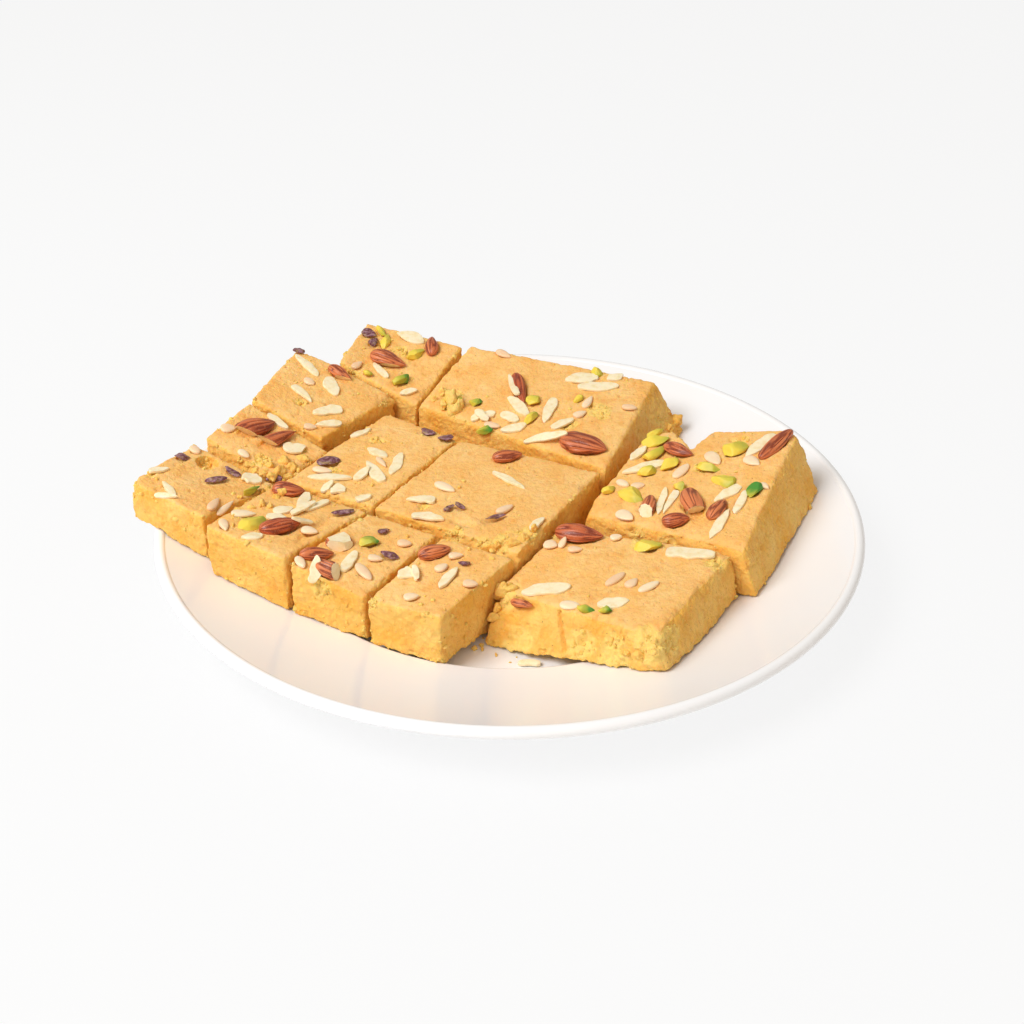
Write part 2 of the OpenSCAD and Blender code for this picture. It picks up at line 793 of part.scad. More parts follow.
module front_seeds() {
    pale_seeds(front, front_seed_shares);
}

module front_pistachios() {
    green_pistachios(front, front_pistachio_shares);
}

module front_mid_block() {
    sweet(front_mid, front_mid_almond_shares, front_mid_sliver_shares,
        front_mid_seed_shares, []);
}

module front_mid_almonds() {
    brown_almonds(front_mid, front_mid_almond_shares);
}

module front_mid_slivers() {
    ivory_slivers(front_mid, front_mid_sliver_shares);
}

module front_mid_seeds() {
    pale_seeds(front_mid, front_mid_seed_shares);
}

module front_right_block() {
    sweet(front_right, front_right_almond_shares, front_right_sliver_shares,
        front_right_seed_shares, front_right_pistachio_shares);
}

module front_right_almonds() {
    brown_almonds(front_right, front_right_almond_shares);
}

module front_right_slivers() {
    ivory_slivers(front_right, front_right_sliver_shares);
}

module front_right_seeds() {
    pale_seeds(front_right, front_right_seed_shares);
}

module front_right_pistachios() {
    green_pistachios(front_right, front_right_pistachio_shares);
}

module right_block() {
    sweet(right, right_almond_shares, right_sliver_shares,
        right_seed_shares, right_pistachio_shares)
        notch();
}

module right_almonds() {
    brown_almonds(right, right_almond_shares);
}

module right_slivers() {
    ivory_slivers(right, right_sliver_shares);
}

module right_seeds() {
    pale_seeds(right, right_seed_shares);
}

module right_pistachios() {
    green_pistachios(right, right_pistachio_shares);
}

module middle_block() {
    sweet(middle, middle_almond_shares, middle_sliver_shares,
        middle_seed_shares, middle_pistachio_shares);
}

module middle_almonds() {
    brown_almonds(middle, middle_almond_shares);
}

module middle_slivers() {
    ivory_slivers(middle, middle_sliver_shares);
}

module middle_seeds() {
    pale_seeds(middle, middle_seed_shares);
}

module middle_pistachios() {
    green_pistachios(middle, middle_pistachio_shares);
}

module mid_left_block() {
    sweet(mid_left, [], mid_left_sliver_shares,
        mid_left_seed_shares, mid_left_pistachio_shares);
}

module mid_left_slivers() {
    ivory_slivers(mid_left, mid_left_sliver_shares);
}

module mid_left_seeds() {
    pale_seeds(mid_left, mid_left_seed_shares);
}

module mid_left_pistachios() {
    green_pistachios(mid_left, mid_left_pistachio_shares);
}

module left_block() {
    sweet(left, left_almond_shares, left_sliver_shares,
        left_seed_shares, []);
}

module left_almonds() {
    brown_almonds(left, left_almond_shares);
}

module left_slivers() {
    ivory_slivers(left, left_sliver_shares);
}

module left_seeds() {
    pale_seeds(left, left_seed_shares);
}

module back_left_block() {
    sweet(back_left, back_left_almond_shares, back_left_sliver_shares,
        back_left_seed_shares, back_left_pistachio_shares);
}

module back_left_almonds() {
    brown_almonds(back_left, back_left_almond_shares);
}

module back_left_slivers() {
    ivory_slivers(back_left, back_left_sliver_shares);
}

module back_left_seeds() {
    pale_seeds(back_left, back_left_seed_shares);
}

module back_left_pistachios() {
    green_pistachios(back_left, back_left_pistachio_shares);
}

module back_block() {
    sweet(back, back_almond_shares, back_sliver_shares,
        back_seed_shares, back_pistachio_shares);
}

module back_almonds() {
    brown_almonds(back, back_almond_shares);
}

module back_slivers() {
    ivory_slivers(back, back_sliver_shares);
}

module back_seeds() {
    pale_seeds(back, back_seed_shares);
}

module back_pistachios() {
    green_pistachios(back, back_pistachio_shares);
}

module back_right_block() {
    sweet(back_right, back_right_almond_shares, back_right_sliver_shares,
        back_right_seed_shares, back_right_pistachio_shares);
}

module back_right_almonds() {
    brown_almonds(back_right, back_right_almond_shares);
}

module back_right_slivers() {
    ivory_slivers(back_right, back_right_sliver_shares);
}

module back_right_seeds() {
    pale_seeds(back_right, back_right_seed_shares);
}

module back_right_pistachios() {
    green_pistachios(back_right, back_right_pistachio_shares);
}

plate();
loose_sliver();
far_left_block();
far_left_slivers();
far_left_seeds();
far_left_pistachios();
front_left_block();
front_left_almonds();
front_left_slivers();
front_left_seeds();
front_left_pistachios();
front_block();
front_almonds();
front_slivers();
front_seeds();
front_pistachios();
front_mid_block();
front_mid_almonds();
front_mid_slivers();
front_mid_seeds();
front_right_block();
front_right_almonds();
front_right_slivers();
front_right_seeds();
front_right_pistachios();
right_block();
right_almonds();
right_slivers();
right_seeds();
right_pistachios();
middle_block();
middle_almonds();
middle_slivers();
middle_seeds();
middle_pistachios();
mid_left_block();
mid_left_slivers();
mid_left_seeds();
mid_left_pistachios();
left_block();
left_almonds();
left_slivers();
left_seeds();
back_left_block();
back_left_almonds();
back_left_slivers();
back_left_seeds();
back_left_pistachios();
back_block();
back_almonds();
back_slivers();
back_seeds();
back_pistachios();
back_right_block();
back_right_almonds();
back_right_slivers();
back_right_seeds();
back_right_pistachios();
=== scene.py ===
# A round dinner plate heaped with hand-cut blocks of flaky sweet, studded with nuts.

import math
import random
from collections import namedtuple

import bmesh
import bpy
import numpy as np
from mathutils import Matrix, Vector
from mathutils.bvhtree import BVHTree


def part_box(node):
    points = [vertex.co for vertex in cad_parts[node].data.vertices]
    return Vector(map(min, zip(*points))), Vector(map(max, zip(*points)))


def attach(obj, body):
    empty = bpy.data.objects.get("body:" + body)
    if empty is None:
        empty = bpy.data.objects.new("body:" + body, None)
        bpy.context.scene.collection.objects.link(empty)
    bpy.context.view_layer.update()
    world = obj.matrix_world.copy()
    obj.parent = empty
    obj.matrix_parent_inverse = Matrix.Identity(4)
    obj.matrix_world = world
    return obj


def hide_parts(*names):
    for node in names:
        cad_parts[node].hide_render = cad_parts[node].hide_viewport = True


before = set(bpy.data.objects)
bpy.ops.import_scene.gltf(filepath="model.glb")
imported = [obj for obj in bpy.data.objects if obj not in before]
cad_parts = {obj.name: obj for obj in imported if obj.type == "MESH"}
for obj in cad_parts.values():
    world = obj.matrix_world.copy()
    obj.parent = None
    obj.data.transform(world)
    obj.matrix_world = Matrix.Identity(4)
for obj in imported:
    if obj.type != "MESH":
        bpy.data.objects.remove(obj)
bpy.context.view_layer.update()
MM = 0.001

# The viewpoint. A 50 mm lens looks down at the heap from the front, as at a table.
# A ray through a pixel of the 1024 pixel square picture leads back to the sweet.
PICTURE = 1024
SENSOR = 36.0
LENS = 50.44
LOOK_DOWN = math.radians(31.761)
STAND_AT = Vector((0.84, -474.3, 313.5)) * MM

eye = bpy.data.objects.new("eye", bpy.data.cameras.new("eye"))
bpy.context.scene.collection.objects.link(eye)
eye.data.sensor_width = SENSOR
eye.data.lens = LENS
eye.data.clip_start = 0.01
eye.location = STAND_AT
eye.rotation_euler = (math.pi / 2 - LOOK_DOWN, 0, 0)
bpy.context.scene.camera = eye
bpy.context.scene.view_settings.view_transform = "Standard"

ahead = Vector((0, math.cos(LOOK_DOWN), -math.sin(LOOK_DOWN)))
over = Vector((0, math.sin(LOOK_DOWN), math.cos(LOOK_DOWN)))
aside = Vector((1, 0, 0))
focal = LENS / SENSOR * PICTURE


def ray_through(pixel):
    x, y = pixel
    way = ahead + aside * ((x - PICTURE / 2) / focal) - over * ((y - PICTURE / 2) / focal)
    return way.normalized()


def pixel_of(point):
    away = Vector(point) - STAND_AT
    depth = away.dot(ahead)
    return (
        PICTURE / 2 + focal * away.dot(aside) / depth,
        PICTURE / 2 - focal * away.dot(over) / depth,
    )


# The dinner plate: one piece of white porcelain, jiggered, dipped in clear glaze and
# fired. Its foot ring is wiped bare, and the glaze is even, warm and mirror smooth.
GLAZE_WHITE = "#F8FAFD"
GLAZE_WARM = "#F9F8F8"
BISQUE = "#DDD6CB"
GLAZE_IOR = 1.5
FIRING_PATCH = 60 * MM
ORANGE_PEEL = 9 * MM
PEEL_DEPTH = 0.05 * MM
# The foot is wiped bare up to the first height, and fully glazed above the second.
WIPED, GLAZED = 0.2 * MM, 0.5 * MM
TURNING_STEPS = 288
TURNING_FLAW = 0.008 * MM
PROFILE_STEP = 0.4 * MM
LIP_REACH = 4 * MM
LIP_STEPS = 40
CRISP = math.radians(38)

Piece = namedtuple("Piece", "points faces looks")


def linear(colour):
    channels = [int(colour[i : i + 2], 16) / 255 for i in (1, 3, 5)]
    low = [c / 12.92 if c <= 0.04045 else ((c + 0.055) / 1.055) ** 2.4 for c in channels]
    return (*low, 1.0)


def add(tree, kind, inputs=(), **settings):
    """One shader node. An input is a number, a colour in hex, or what feeds it.

    Inputs that share a name are told apart by their place instead.
    """
    node = tree.nodes.new("ShaderNode" + kind)
    for name, value in settings.items():
        setattr(node, name, value)
    for name, value in dict(inputs).items():
        if isinstance(name, int):
            socket = node.inputs[name]
        else:
            socket = next(s for s in node.inputs if s.name == name and s.enabled)
        if isinstance(value, bpy.types.Node):
            value = next(s for s in value.outputs if s.enabled)
        if isinstance(value, bpy.types.NodeSocket):
            tree.links.new(value, socket)
        else:
            socket.default_value = linear(value) if isinstance(value, str) else value
    return node


def material_of(name):
    """A new material and its empty node tree."""
    material = bpy.data.materials.new(name)
    material.use_nodes = True
    material.node_tree.nodes.clear()
    return material, material.node_tree


# Glazed porcelain: a clear glassy skin over a white body, with small sharp reflections.
glaze, tree = material_of("glazed_porcelain")
spot = add(tree, "TexCoord").outputs["Object"]
firing = add(tree, "TexNoise", {"Vector": spot, "Scale": 1 / FIRING_PATCH, "Detail": 2.0})
warmth = add(tree, "MapRange", {"Value": firing, "From Min": 0.35, "From Max": 0.7})
tint = add(tree, "Mix", {"Factor": warmth, "A": GLAZE_WHITE, "B": GLAZE_WARM}, data_type="RGBA")
above_table = add(tree, "SeparateXYZ", {"Vector": spot}).outputs["Z"]
bare = add(tree, "MapRange", {"Value": above_table, "From Min": GLAZED, "From Max": WIPED})
clay = add(tree, "Mix", {"Factor": bare, "A": tint, "B": BISQUE}, data_type="RGBA")
orange_peel = add(tree, "TexNoise", {"Vector": spot, "Scale": 1 / ORANGE_PEEL, "Detail": 1.0})
dimples = add(tree, "Bump", {"Height": orange_peel, "Distance": PEEL_DEPTH, "Strength": 0.35})
shader = add(
    tree,
    "BsdfPrincipled",
    {
        "Base Color": clay,
        "Roughness": 0.2,
        "IOR": GLAZE_IOR,
        "Coat Weight": 0.15,
        "Coat Roughness": 0.08,
        "Normal": dimples,
    },
)
add(tree, "OutputMaterial", {"Surface": shader})


def faces_of(mesh):
    return [tuple(p.vertices) for p in mesh.polygons]


def skin_over(rings):
    """Faces of a closed skin over rings of points, with a fan of faces at each tip."""
    count, around = rings.shape[:2]
    points = np.vstack([rings.reshape(-1, 3), rings[0].mean(axis=0), rings[-1].mean(axis=0)])
    faces, first, last = [], count * around, count * around + 1
    for j in range(around):
        k = (j + 1) % around
        faces += [
            (i * around + j, i * around + k, (i + 1) * around + k, (i + 1) * around + j)
            for i in range(count - 1)
        ]
        faces += [(first, k, j), (last, first - around + j, first - around + k)]
    return points, faces


def in_one(name, pieces, material, body, node=None):
    """One object of many like pieces, which rides on a body and may stand for a node."""
    faces, start = [], 0
    for piece in pieces:
        faces += [tuple(start + i for i in face) for face in piece.faces]
        start += len(piece.points)
    mesh = bpy.data.meshes.new(name)
    mesh.from_pydata(np.vstack([piece.points for piece in pieces]).tolist(), [], faces)
    for look in pieces[0].looks:
        layer = mesh.attributes.new(look, "FLOAT", "POINT")
        layer.data.foreach_set("value", np.concatenate([p.looks[look] for p in pieces]).astype(np.float32))
    mesh.polygons.foreach_set("use_smooth", np.ones(len(faces), dtype=bool))
    mesh.set_sharp_from_angle(angle=CRISP)
    mesh.materials.append(material)
    heap = bpy.data.objects.new(name, mesh)
    bpy.context.scene.collection.objects.link(heap)
    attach(heap, body)
    if node:
        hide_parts(node)


def fewer(line, flaw):
    """The points of a line that can't be left out without moving it by more than a flaw."""
    start, end = line[0], line[-1]
    along = end - start
    off = np.abs(np.cross(along, line - start)) / max(np.linalg.norm(along), 1e-9)
    worst = int(off.argmax())
    if off[worst] < flaw or len(line) < 3:
        return [start, end]
    return fewer(line[: worst + 1], flaw)[:-1] + fewer(line[worst:], flaw)


def section_of(surface, reach, step):
    """The outline of a turned piece, from its axis over the lip and back underneath."""
    curve = reach - LIP_REACH + LIP_REACH * np.sin(np.linspace(0, math.pi / 2, LIP_STEPS)[:-1])
    radii = np.concatenate([np.arange(step, reach - LIP_REACH, step), curve])
    tops, lows = [], []
    for r in radii:
        above = surface.ray_cast(Vector((r, 0, 1)), Vector((0, 0, -1)))[0]
        below = surface.ray_cast(Vector((r, 0, -1)), Vector((0, 0, 1)))[0]
        if above and below:
            tops.append((r, above.z))
            lows.append((r, below.z))
    return np.array(fewer(np.array(tops), TURNING_FLAW) + fewer(np.array(lows[::-1]), TURNING_FLAW))


cad_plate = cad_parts["plate"].data
glaze_surface = BVHTree.FromPolygons([tuple(v.co) for v in cad_plate.vertices], faces_of(cad_plate))
section = section_of(glaze_surface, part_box("plate")[1][0], PROFILE_STEP)
turn = np.linspace(0, -2 * math.pi, TURNING_STEPS, endpoint=False)
rings = np.stack(
    [
        section[:, :1] * np.cos(turn),
        section[:, :1] * np.sin(turn),
        np.broadcast_to(section[:, 1:], (len(section), TURNING_STEPS)),
    ],
    axis=-1,
)
in_one("turned_plate", [Piece(*skin_over(rings), {})], glaze, "plate", "plate")


# The blocks of sweet: gram flour and milk solids pulled into fine threads, pressed into
# a slab and cut by knife. Pressed tops are smooth and tan; cut sides are yellow and
# crumble in flakes, and the threads break off along every edge.
VOXEL = 0.55 * MM
PRESSED = "#F9BD6C"
PRESSED_PALE = "#FECE86"
CUT = "#F8B950"
CUT_PALE = "#FED076"
FLAKE = "#FFDA7E"
TOASTED = "#EC9A3C"
SPECK = "#8A4B22"
# How wide the colour patterns are: patches from pressing, toasted spots, flakes, grains of
# flour and brown specks. The real threads, under 0.2 mm thick, would be too fine to show, so
# they are drawn as the flakes and grains that they break into.
PATCH_W = 13 * MM
TOAST_W = 6 * MM
FLAKE_W = 2.2 * MM
GRAIN_W = 1.1 * MM
SPECK_W = 0.9 * MM
GRAIN_DEPTH = 0.45 * MM
FLAKE_DEPTH = 0.8 * MM
# How wide each kind of relief is, in millimetres. Pits are in the cut sides, pores in the
# pressed tops and chips along the edges.
WAVE = 15
LUMP = 4.2
SMALL_LUMP = 1.9
PRESSED_CRUMB = 2.0
GRIT = 1.25
PIT = 2.3
PORE = 1.7
CHIP = 3.4
RAGGED_END = 3.1
RAGGED_MARK = 2.0
# How many times points are drawn to their neighbours: to take off the voxels' steps, to even
# out the normals, to find the corners and to wear an edge round.
STEPS_OFF, EVEN_NORMALS, FIND_CORNERS, WEAR_ROUND = 1, 3, 9, 60
# Of a block's height over its foot, in millimetres: what counts as cut all round, and between
# which heights the rough foot fades out.
ALL_CUT = 4
FOOT_ROUGH, FOOT_FADED = 3, 8
# How far a corner stands off its eased place, and how far relief may stand proud.
CORNER_OFF = 0.8
MOST_PROUD = 0.4
BLOCKS = sorted(n[: -len("_block")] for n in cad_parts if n.endswith("_block"))
# Marks on the sweet, in picture pixels: where each begins and ends, its half width and
# its depth in millimetres. A depth below zero is a lump that stands proud.
MARKS = {
    "front_right": [
        ((559, 612), (564, 650), 0.6, 2.2),
        ((597, 619), (609, 621), 1.2, 1.2),
        ((513, 604), (532, 609), 2.4, 1.6),
    ],
    "back_right": [((667, 392), (674, 414), 2.4, 2.8)],
    "right": [((622, 500), (632, 520), 2.0, 0.8)],
    "front_left": [((262, 496), (296, 474), 3.0, 1.6), ((300, 540), (330, 516), 1.6, 1.0)],
    "left": [((240, 462), (276, 472), 2.5, 1.4), ((262, 474), (300, 468), 4.0, -2.4)],
    "middle": [((455, 520), (470, 524), 1.4, 1.2), ((488, 520), (502, 514), 2.0, 1.2)],
    "back_left": [((360, 372), (372, 392), 2.0, 1.0)],
}
# Edges that are worn round: the pixel of the middle of the wear and its radius in millimetres.
WORN_ROUND = {
    "front_right": [
        ((656, 640), 9), ((665, 660), 10), ((680, 616), 8), ((705, 588), 8), ((727, 562), 8),
        ((500, 606), 7), ((540, 618), 6), ((600, 632), 6), ((640, 640), 8), ((506, 590), 6),
    ],
    "right": [
        ((742, 556), 8), ((765, 520), 6), ((784, 480), 6), ((800, 436), 8), ((590, 512), 9),
        ((612, 522), 8), ((650, 534), 8), ((690, 546), 8), ((724, 554), 9), ((594, 492), 9), ((606, 476), 8),
    ],
    "back_right": [((660, 386), 8), ((640, 430), 5), ((624, 462), 6)],
    "middle": [((505, 548), 7), ((540, 540), 6), ((588, 488), 5)],
    "far_left": [((130, 485), 6), ((222, 506), 6)],
    "back": [((462, 350), 6), ((420, 392), 6)],
    "back_left": [((388, 404), 6)],
    "left": [((276, 472), 12), ((250, 468), 7), ((300, 456), 9)],
    "front": [((300, 576), 5)],
}
# Where a top has crumbled open: the pixel of its middle and its radius in millimetres.
BROKEN = {
    "back_right": [((600, 410), 7), ((570, 424), 5), ((452, 404), 7), ((662, 420), 5)],
    "middle": [((455, 536), 5), ((478, 541), 5), ((505, 541), 6), ((530, 532), 6), ((424, 505), 3)],
    "front_left": [((250, 492), 6), ((272, 476), 5), ((240, 516), 5), ((300, 486), 4)],
    "front_right": [
        ((504, 596), 6), ((560, 534), 4), ((593, 534), 5), ((640, 545), 5), ((520, 640), 7),
        ((580, 645), 8), ((615, 650), 9), ((650, 648), 9), ((672, 640), 7), ((690, 552), 4), ((716, 562), 5),
    ],
    "left": [((262, 462), 5), ((300, 448), 4)],
    "back_left": [((386, 404), 3), ((300, 402), 3)],
    "back": [((350, 372), 4), ((400, 350), 4)],
    "mid_left": [((376, 440), 4), ((330, 470), 4)],
    "right": [((610, 480), 4), ((742, 440), 4), ((700, 470), 4), ((636, 536), 4), ((664, 542), 4)],
    "front": [((322, 590), 4), ((300, 560), 3)],
    "front_mid": [((372, 604), 3), ((500, 552), 4)],
    "far_left": [((205, 462), 3), ((150, 472), 3)],
}


def lattice(cells, seed):
    """A steady random number from 0 to 1 for each cell of three whole numbers."""
    key = cells.astype(np.int64)
    mixed = key[..., 0] * 73856093 ^ key[..., 1] * 19349663 ^ key[..., 2] * 83492791 ^ seed * 2654435761
    mixed = (mixed ^ (mixed >> 13)) * 1274126177 & 0x7FFFFFFF
    mixed = (mixed ^ (mixed >> 15)) * 668265263 & 0x7FFFFFFF
    return mixed / 0x7FFFFFFF


def value_noise(points, size, seed):
    """Smooth noise from 0 to 1 whose patches are size wide."""
    scaled = points / size
    low = np.floor(scaled)
    part = scaled - low
    part = part * part * (3 - 2 * part)
    total = np.zeros(points.shape[:-1])
    for corner in np.ndindex(2, 2, 2):
        weight = np.prod(np.where(corner, part, 1 - part), axis=-1)
        total += weight * lattice(low + corner, seed)
    return total


def grain_noise(points, size, seed):
    """Distance to the nearest of scattered grains, as a share of their spacing."""
    scaled = points / size
    low = np.floor(scaled)
    nearest = np.full(len(points), 9.0)
    for step in np.ndindex(3, 3, 3):
        cell = low + np.array(step) - 1
        middle = cell + np.stack([lattice(cell, seed + i) for i in range(3)], axis=1)
        nearest = np.minimum(nearest, np.linalg.norm(scaled - middle, axis=1))
    return nearest


def smooth_step(values, low, high):
    share = np.clip((values - low) / (high - low), 0, 1)
    return share * share * (3 - 2 * share)


def eased(points, edges, times):
    """Points drawn towards the mean of their neighbours."""
    a, b = edges[:, 0], edges[:, 1]
    count = np.bincount(a, minlength=len(points)) + np.bincount(b, minlength=len(points))
    for _ in range(times):
        total = np.stack(
            [
                np.bincount(a, points[b, k], len(points)) + np.bincount(b, points[a, k], len(points))
                for k in range(3)
            ],
            axis=1,
        )
        points = total / count[:, None]
    return points


def values_of(items, name, width):
    found = np.zeros(len(items) * width)
    items.foreach_get(name, found)
    return found.reshape(-1, width)


def in_voxels(node, size):
    """A copy of a CAD node's surface in small even faces."""
    blank = bpy.data.objects.new("blank", node.data.copy())
    bpy.context.scene.collection.objects.link(blank)
    remesh = blank.modifiers.new("voxels", "REMESH")
    remesh.mode = "VOXEL"
    remesh.voxel_size = size
    evaluated = blank.evaluated_get(bpy.context.evaluated_depsgraph_get())
    mesh = bpy.data.meshes.new_from_object(evaluated)
    bpy.data.objects.remove(blank)
    return mesh


def hit_by(surface, pixel):
    """Where the ray through a pixel meets a surface, and the outward normal there."""
    point, normal, _, _ = surface.ray_cast(STAND_AT, ray_through(pixel))
    return point, normal


def near_pixels(points, surface, spots, inner, seed):
    """How near points are to the spots seen at some pixels, from 0 to 1, with ragged ends."""
    nearness = np.zeros(len(points))
    for pixel, radius in spots:
        middle, _ = hit_by(surface, pixel)
        if middle is not None:
            away = np.linalg.norm(points - np.array(middle) / MM, axis=1)
            away *= 0.55 + 0.9 * value_noise(points, RAGGED_END, seed)
            nearness = np.maximum(nearness, 1 - smooth_step(away, inner * radius, radius))
    return nearness


def sculpt(name, mesh, seed):
    """Gives a cut block its crumbly sides, its worn edges and its pores."""
    points = values_of(mesh.vertices, "co", 3) / MM
    surface = BVHTree.FromPolygons((points * MM).tolist(), faces_of(mesh))
    edges = values_of(mesh.edges, "vertices", 2).astype(int)
    soft = eased(points, edges, STEPS_OFF)
    rounding = near_pixels(points, surface, WORN_ROUND.get(name, []), 0.3, seed + 12)
    if rounding.any():
        soft += (eased(points, edges, WEAR_ROUND) - soft) * rounding[:, None]
    blank = values_of(mesh.vertices, "normal", 3)
    normals = eased(blank, edges, EVEN_NORMALS)
    normals /= np.linalg.norm(normals, axis=1)[:, None]
    off = np.einsum("ij,ij->i", points - eased(points, edges, FIND_CORNERS), normals)
    corner = np.clip(off / CORNER_OFF, 0, 1)
    side = 1 - smooth_step(blank[:, 2], 0.55, 0.9)
    side = np.clip(side + (points[:, 2] < points[:, 2].min() + ALL_CUT), 0, 1)
    foot = 1 - smooth_step(points[:, 2] - points[:, 2].min(), FOOT_ROUGH, FOOT_FADED)
    crumbled = near_pixels(soft, surface, BROKEN.get(name, []), 0.45, seed + 11)
    side = np.maximum(side, crumbled)

    waves = value_noise(soft, WAVE, seed) - 0.5
    lumps = value_noise(soft, LUMP, seed + 1) - 0.5
    small_lumps = value_noise(soft, SMALL_LUMP, seed + 2) - 0.5
    crumbs = 0.55 - grain_noise(soft * [1, 1, 1.25], PRESSED_CRUMB, seed + 3)
    grit = value_noise(soft, GRIT, seed + 4) - 0.5
    pits = smooth_step(value_noise(soft * [1, 1, 1.4], PIT, seed + 6), 0.7, 0.86)
    pores = smooth_step(value_noise(soft, PORE, seed + 7), 0.8, 0.92)
    chips = smooth_step(value_noise(soft, CHIP, seed + 8), 0.5, 0.8)

    rough = 0.28 + 0.22 * side + 0.8 * side * foot
    depth = 0.8 * waves + rough * (0.8 * lumps + 0.7 * small_lumps + 0.6 * crumbs)
    depth += (0.16 + 0.3 * side) * grit
    depth -= side * (0.35 + 0.6 * foot) * pits + (1 - side) * 0.5 * pores
    depth += crumbled * (1.6 * lumps + 0.9 * small_lumps + 0.6 * crumbs - 0.5)
    depth -= corner * (0.1 + 1.1 * chips)
    moved = soft + normals * np.minimum(depth, MOST_PROUD)[:, None]

    for start, end, half_width, deep in MARKS.get(name, []):
        first, way = hit_by(surface, start)
        last, _ = hit_by(surface, end)
        if first is None or last is None:
            continue
        a, b = np.array(first) / MM, np.array(last) / MM
        along = b - a
        share = np.clip((moved - a) @ along / max(along @ along, 1e-9), 0, 1)
        gap = np.linalg.norm(moved - a - share[:, None] * along, axis=1)
        gap *= 0.75 + 0.5 * value_noise(moved, RAGGED_MARK, seed + 9)
        moved -= np.outer(deep * (1 - smooth_step(gap, 0, 2 * half_width)), np.array(way))

    mesh.vertices.foreach_set("co", (moved * MM).ravel())
    worn = np.clip(corner * chips + 0.2 * pits * side + crumbled + 0.5 * side * foot * lumps, 0, 1)
    for look, values in (("cut", side), ("worn", worn)):
        layer = mesh.attributes.new(look, "FLOAT", "POINT")
        layer.data.foreach_set("value", values.astype(np.float32))
    for face in mesh.polygons:
        face.use_smooth = True
    mesh.update()


# Pressed and cut sweet: matt, warm and a little see-through, with no shine even where the
# press has smoothed it.
sweet, tree = material_of("pressed_and_cut_sweet")
spot = add(tree, "TexCoord").outputs["Object"]
cut_face = add(tree, "Attribute", attribute_name="cut").outputs["Fac"]
worn_edge = add(tree, "Attribute", attribute_name="worn").outputs["Fac"]
patches = add(tree, "TexNoise", {"Vector": spot, "Scale": 1 / PATCH_W, "Detail": 3.0})
flakes = add(tree, "TexNoise", {"Vector": spot, "Scale": 1 / FLAKE_W, "Detail": 4.0, "Roughness": 0.65})
toasting = add(tree, "TexNoise", {"Vector": spot, "Scale": 1 / TOAST_W, "Detail": 4.0, "Roughness": 0.6})
specks = add(tree, "TexNoise", {"Vector": spot, "Scale": 1 / SPECK_W, "Detail": 2.0})
grains = add(tree, "TexNoise", {"Vector": spot, "Scale": 1 / GRAIN_W, "Detail": 3.0, "Roughness": 0.7})

paler = add(tree, "MapRange", {"Value": patches, "From Min": 0.35, "From Max": 0.7})
pressed = add(tree, "Mix", {"Factor": paler, "A": PRESSED, "B": PRESSED_PALE}, data_type="RGBA")
crumbly = add(tree, "Mix", {"Factor": paler, "A": CUT, "B": CUT_PALE}, data_type="RGBA")
is_cut = add(tree, "MapRange", {"Value": cut_face, "From Min": 0.25, "From Max": 0.75})
colour = add(tree, "Mix", {"Factor": is_cut, "A": pressed, "B": crumbly}, data_type="RGBA")
browner = add(tree, "MapRange", {"Value": flakes, "From Min": 0.5, "From Max": 0.7, "To Max": 0.5})
colour = add(tree, "Mix", {"Factor": browner, "A": colour, "B": TOASTED}, data_type="RGBA")
toast = add(tree, "MapRange", {"Value": toasting, "From Min": 0.54, "From Max": 0.72, "To Max": 0.45})
colour = add(tree, "Mix", {"Factor": toast, "A": colour, "B": TOASTED}, data_type="RGBA")
floury = add(tree, "MapRange", {"Value": grains, "From Min": 0.54, "From Max": 0.68, "To Max": 0.5})
colour = add(tree, "Mix", {"Factor": floury, "A": colour, "B": FLAKE}, data_type="RGBA")
is_worn = add(tree, "MapRange", {"Value": worn_edge, "From Min": 0.1, "From Max": 0.8, "To Max": 0.75})
colour = add(tree, "Mix", {"Factor": is_worn, "A": colour, "B": FLAKE}, data_type="RGBA")
is_speck = add(tree, "MapRange", {"Value": specks, "From Min": 0.7, "From Max": 0.76, "To Max": 0.7})
colour = add(tree, "Mix", {"Factor": is_speck, "A": colour, "B": SPECK}, data_type="RGBA")
grainier = add(tree, "MapRange", {"Value": cut_face, "To Min": 0.6, "To Max": 1.5})
relief = add(tree, "Math", {0: grains, 1: grainier}, operation="MULTIPLY")
fine = add(tree, "Bump", {"Height": relief, "Distance": GRAIN_DEPTH, "Strength": 0.55})
coarse = add(tree, "Bump", {"Height": flakes, "Distance": FLAKE_DEPTH, "Strength": 0.65, "Normal": fine})
shader = add(
    tree,
    "BsdfPrincipled",
    {
        "Base Color": colour,
        "Roughness": 0.6,
        "IOR": 1.45,
        "Specular IOR Level": 0.25,
        "Subsurface Weight": 0.25,
        "Subsurface Radius": (1.0, 0.4, 0.1),
        "Subsurface Scale": 2.2 * MM,
        "Normal": coarse,
    },
)
add(tree, "OutputMaterial", {"Surface": shader})

sculpted, carried = {}, {}
for number, name in enumerate(BLOCKS):
    mesh = in_voxels(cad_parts[name + "_block"], VOXEL)
    sculpt(name, mesh, 20 * number)
    mesh.materials.clear()
    mesh.materials.append(sweet)
    block = bpy.data.objects.new(name + "_sweet", mesh)
    bpy.context.scene.collection.objects.link(block)
    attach(block, name)
    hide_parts(name + "_block")
    sculpted[name] = mesh
    carried[name] = []


# The almonds: shelled, with their thin brown skin dried on in lengthwise wrinkles. Some
# are whole and some halved or chipped, so that a rim of ivory flesh shows below the skin.
# Skin colours: a paler russet that some almonds have all over, also painted on the crests of the wrinkles as
# a highlight, the plain russet, and a dark brown painted in the folds as shade.
SKIN_PALE_AND_HIGHLIGHT = "#DE8350"
SKIN = "#BC5832"
SKIN_FOLD_SHADE = "#782A18"
SKIN_DUST = "#EDC29C"
FLESH = "#FCEDC8"
FLESH_GRAIN = "#F1D79C"
SKIN_MOTTLE = 2.5 * MM
SKIN_SCURF = 0.5 * MM
ALMOND_RINGS = 44
ALMOND_AROUND = 96
ALMOND_TIP = 0.05
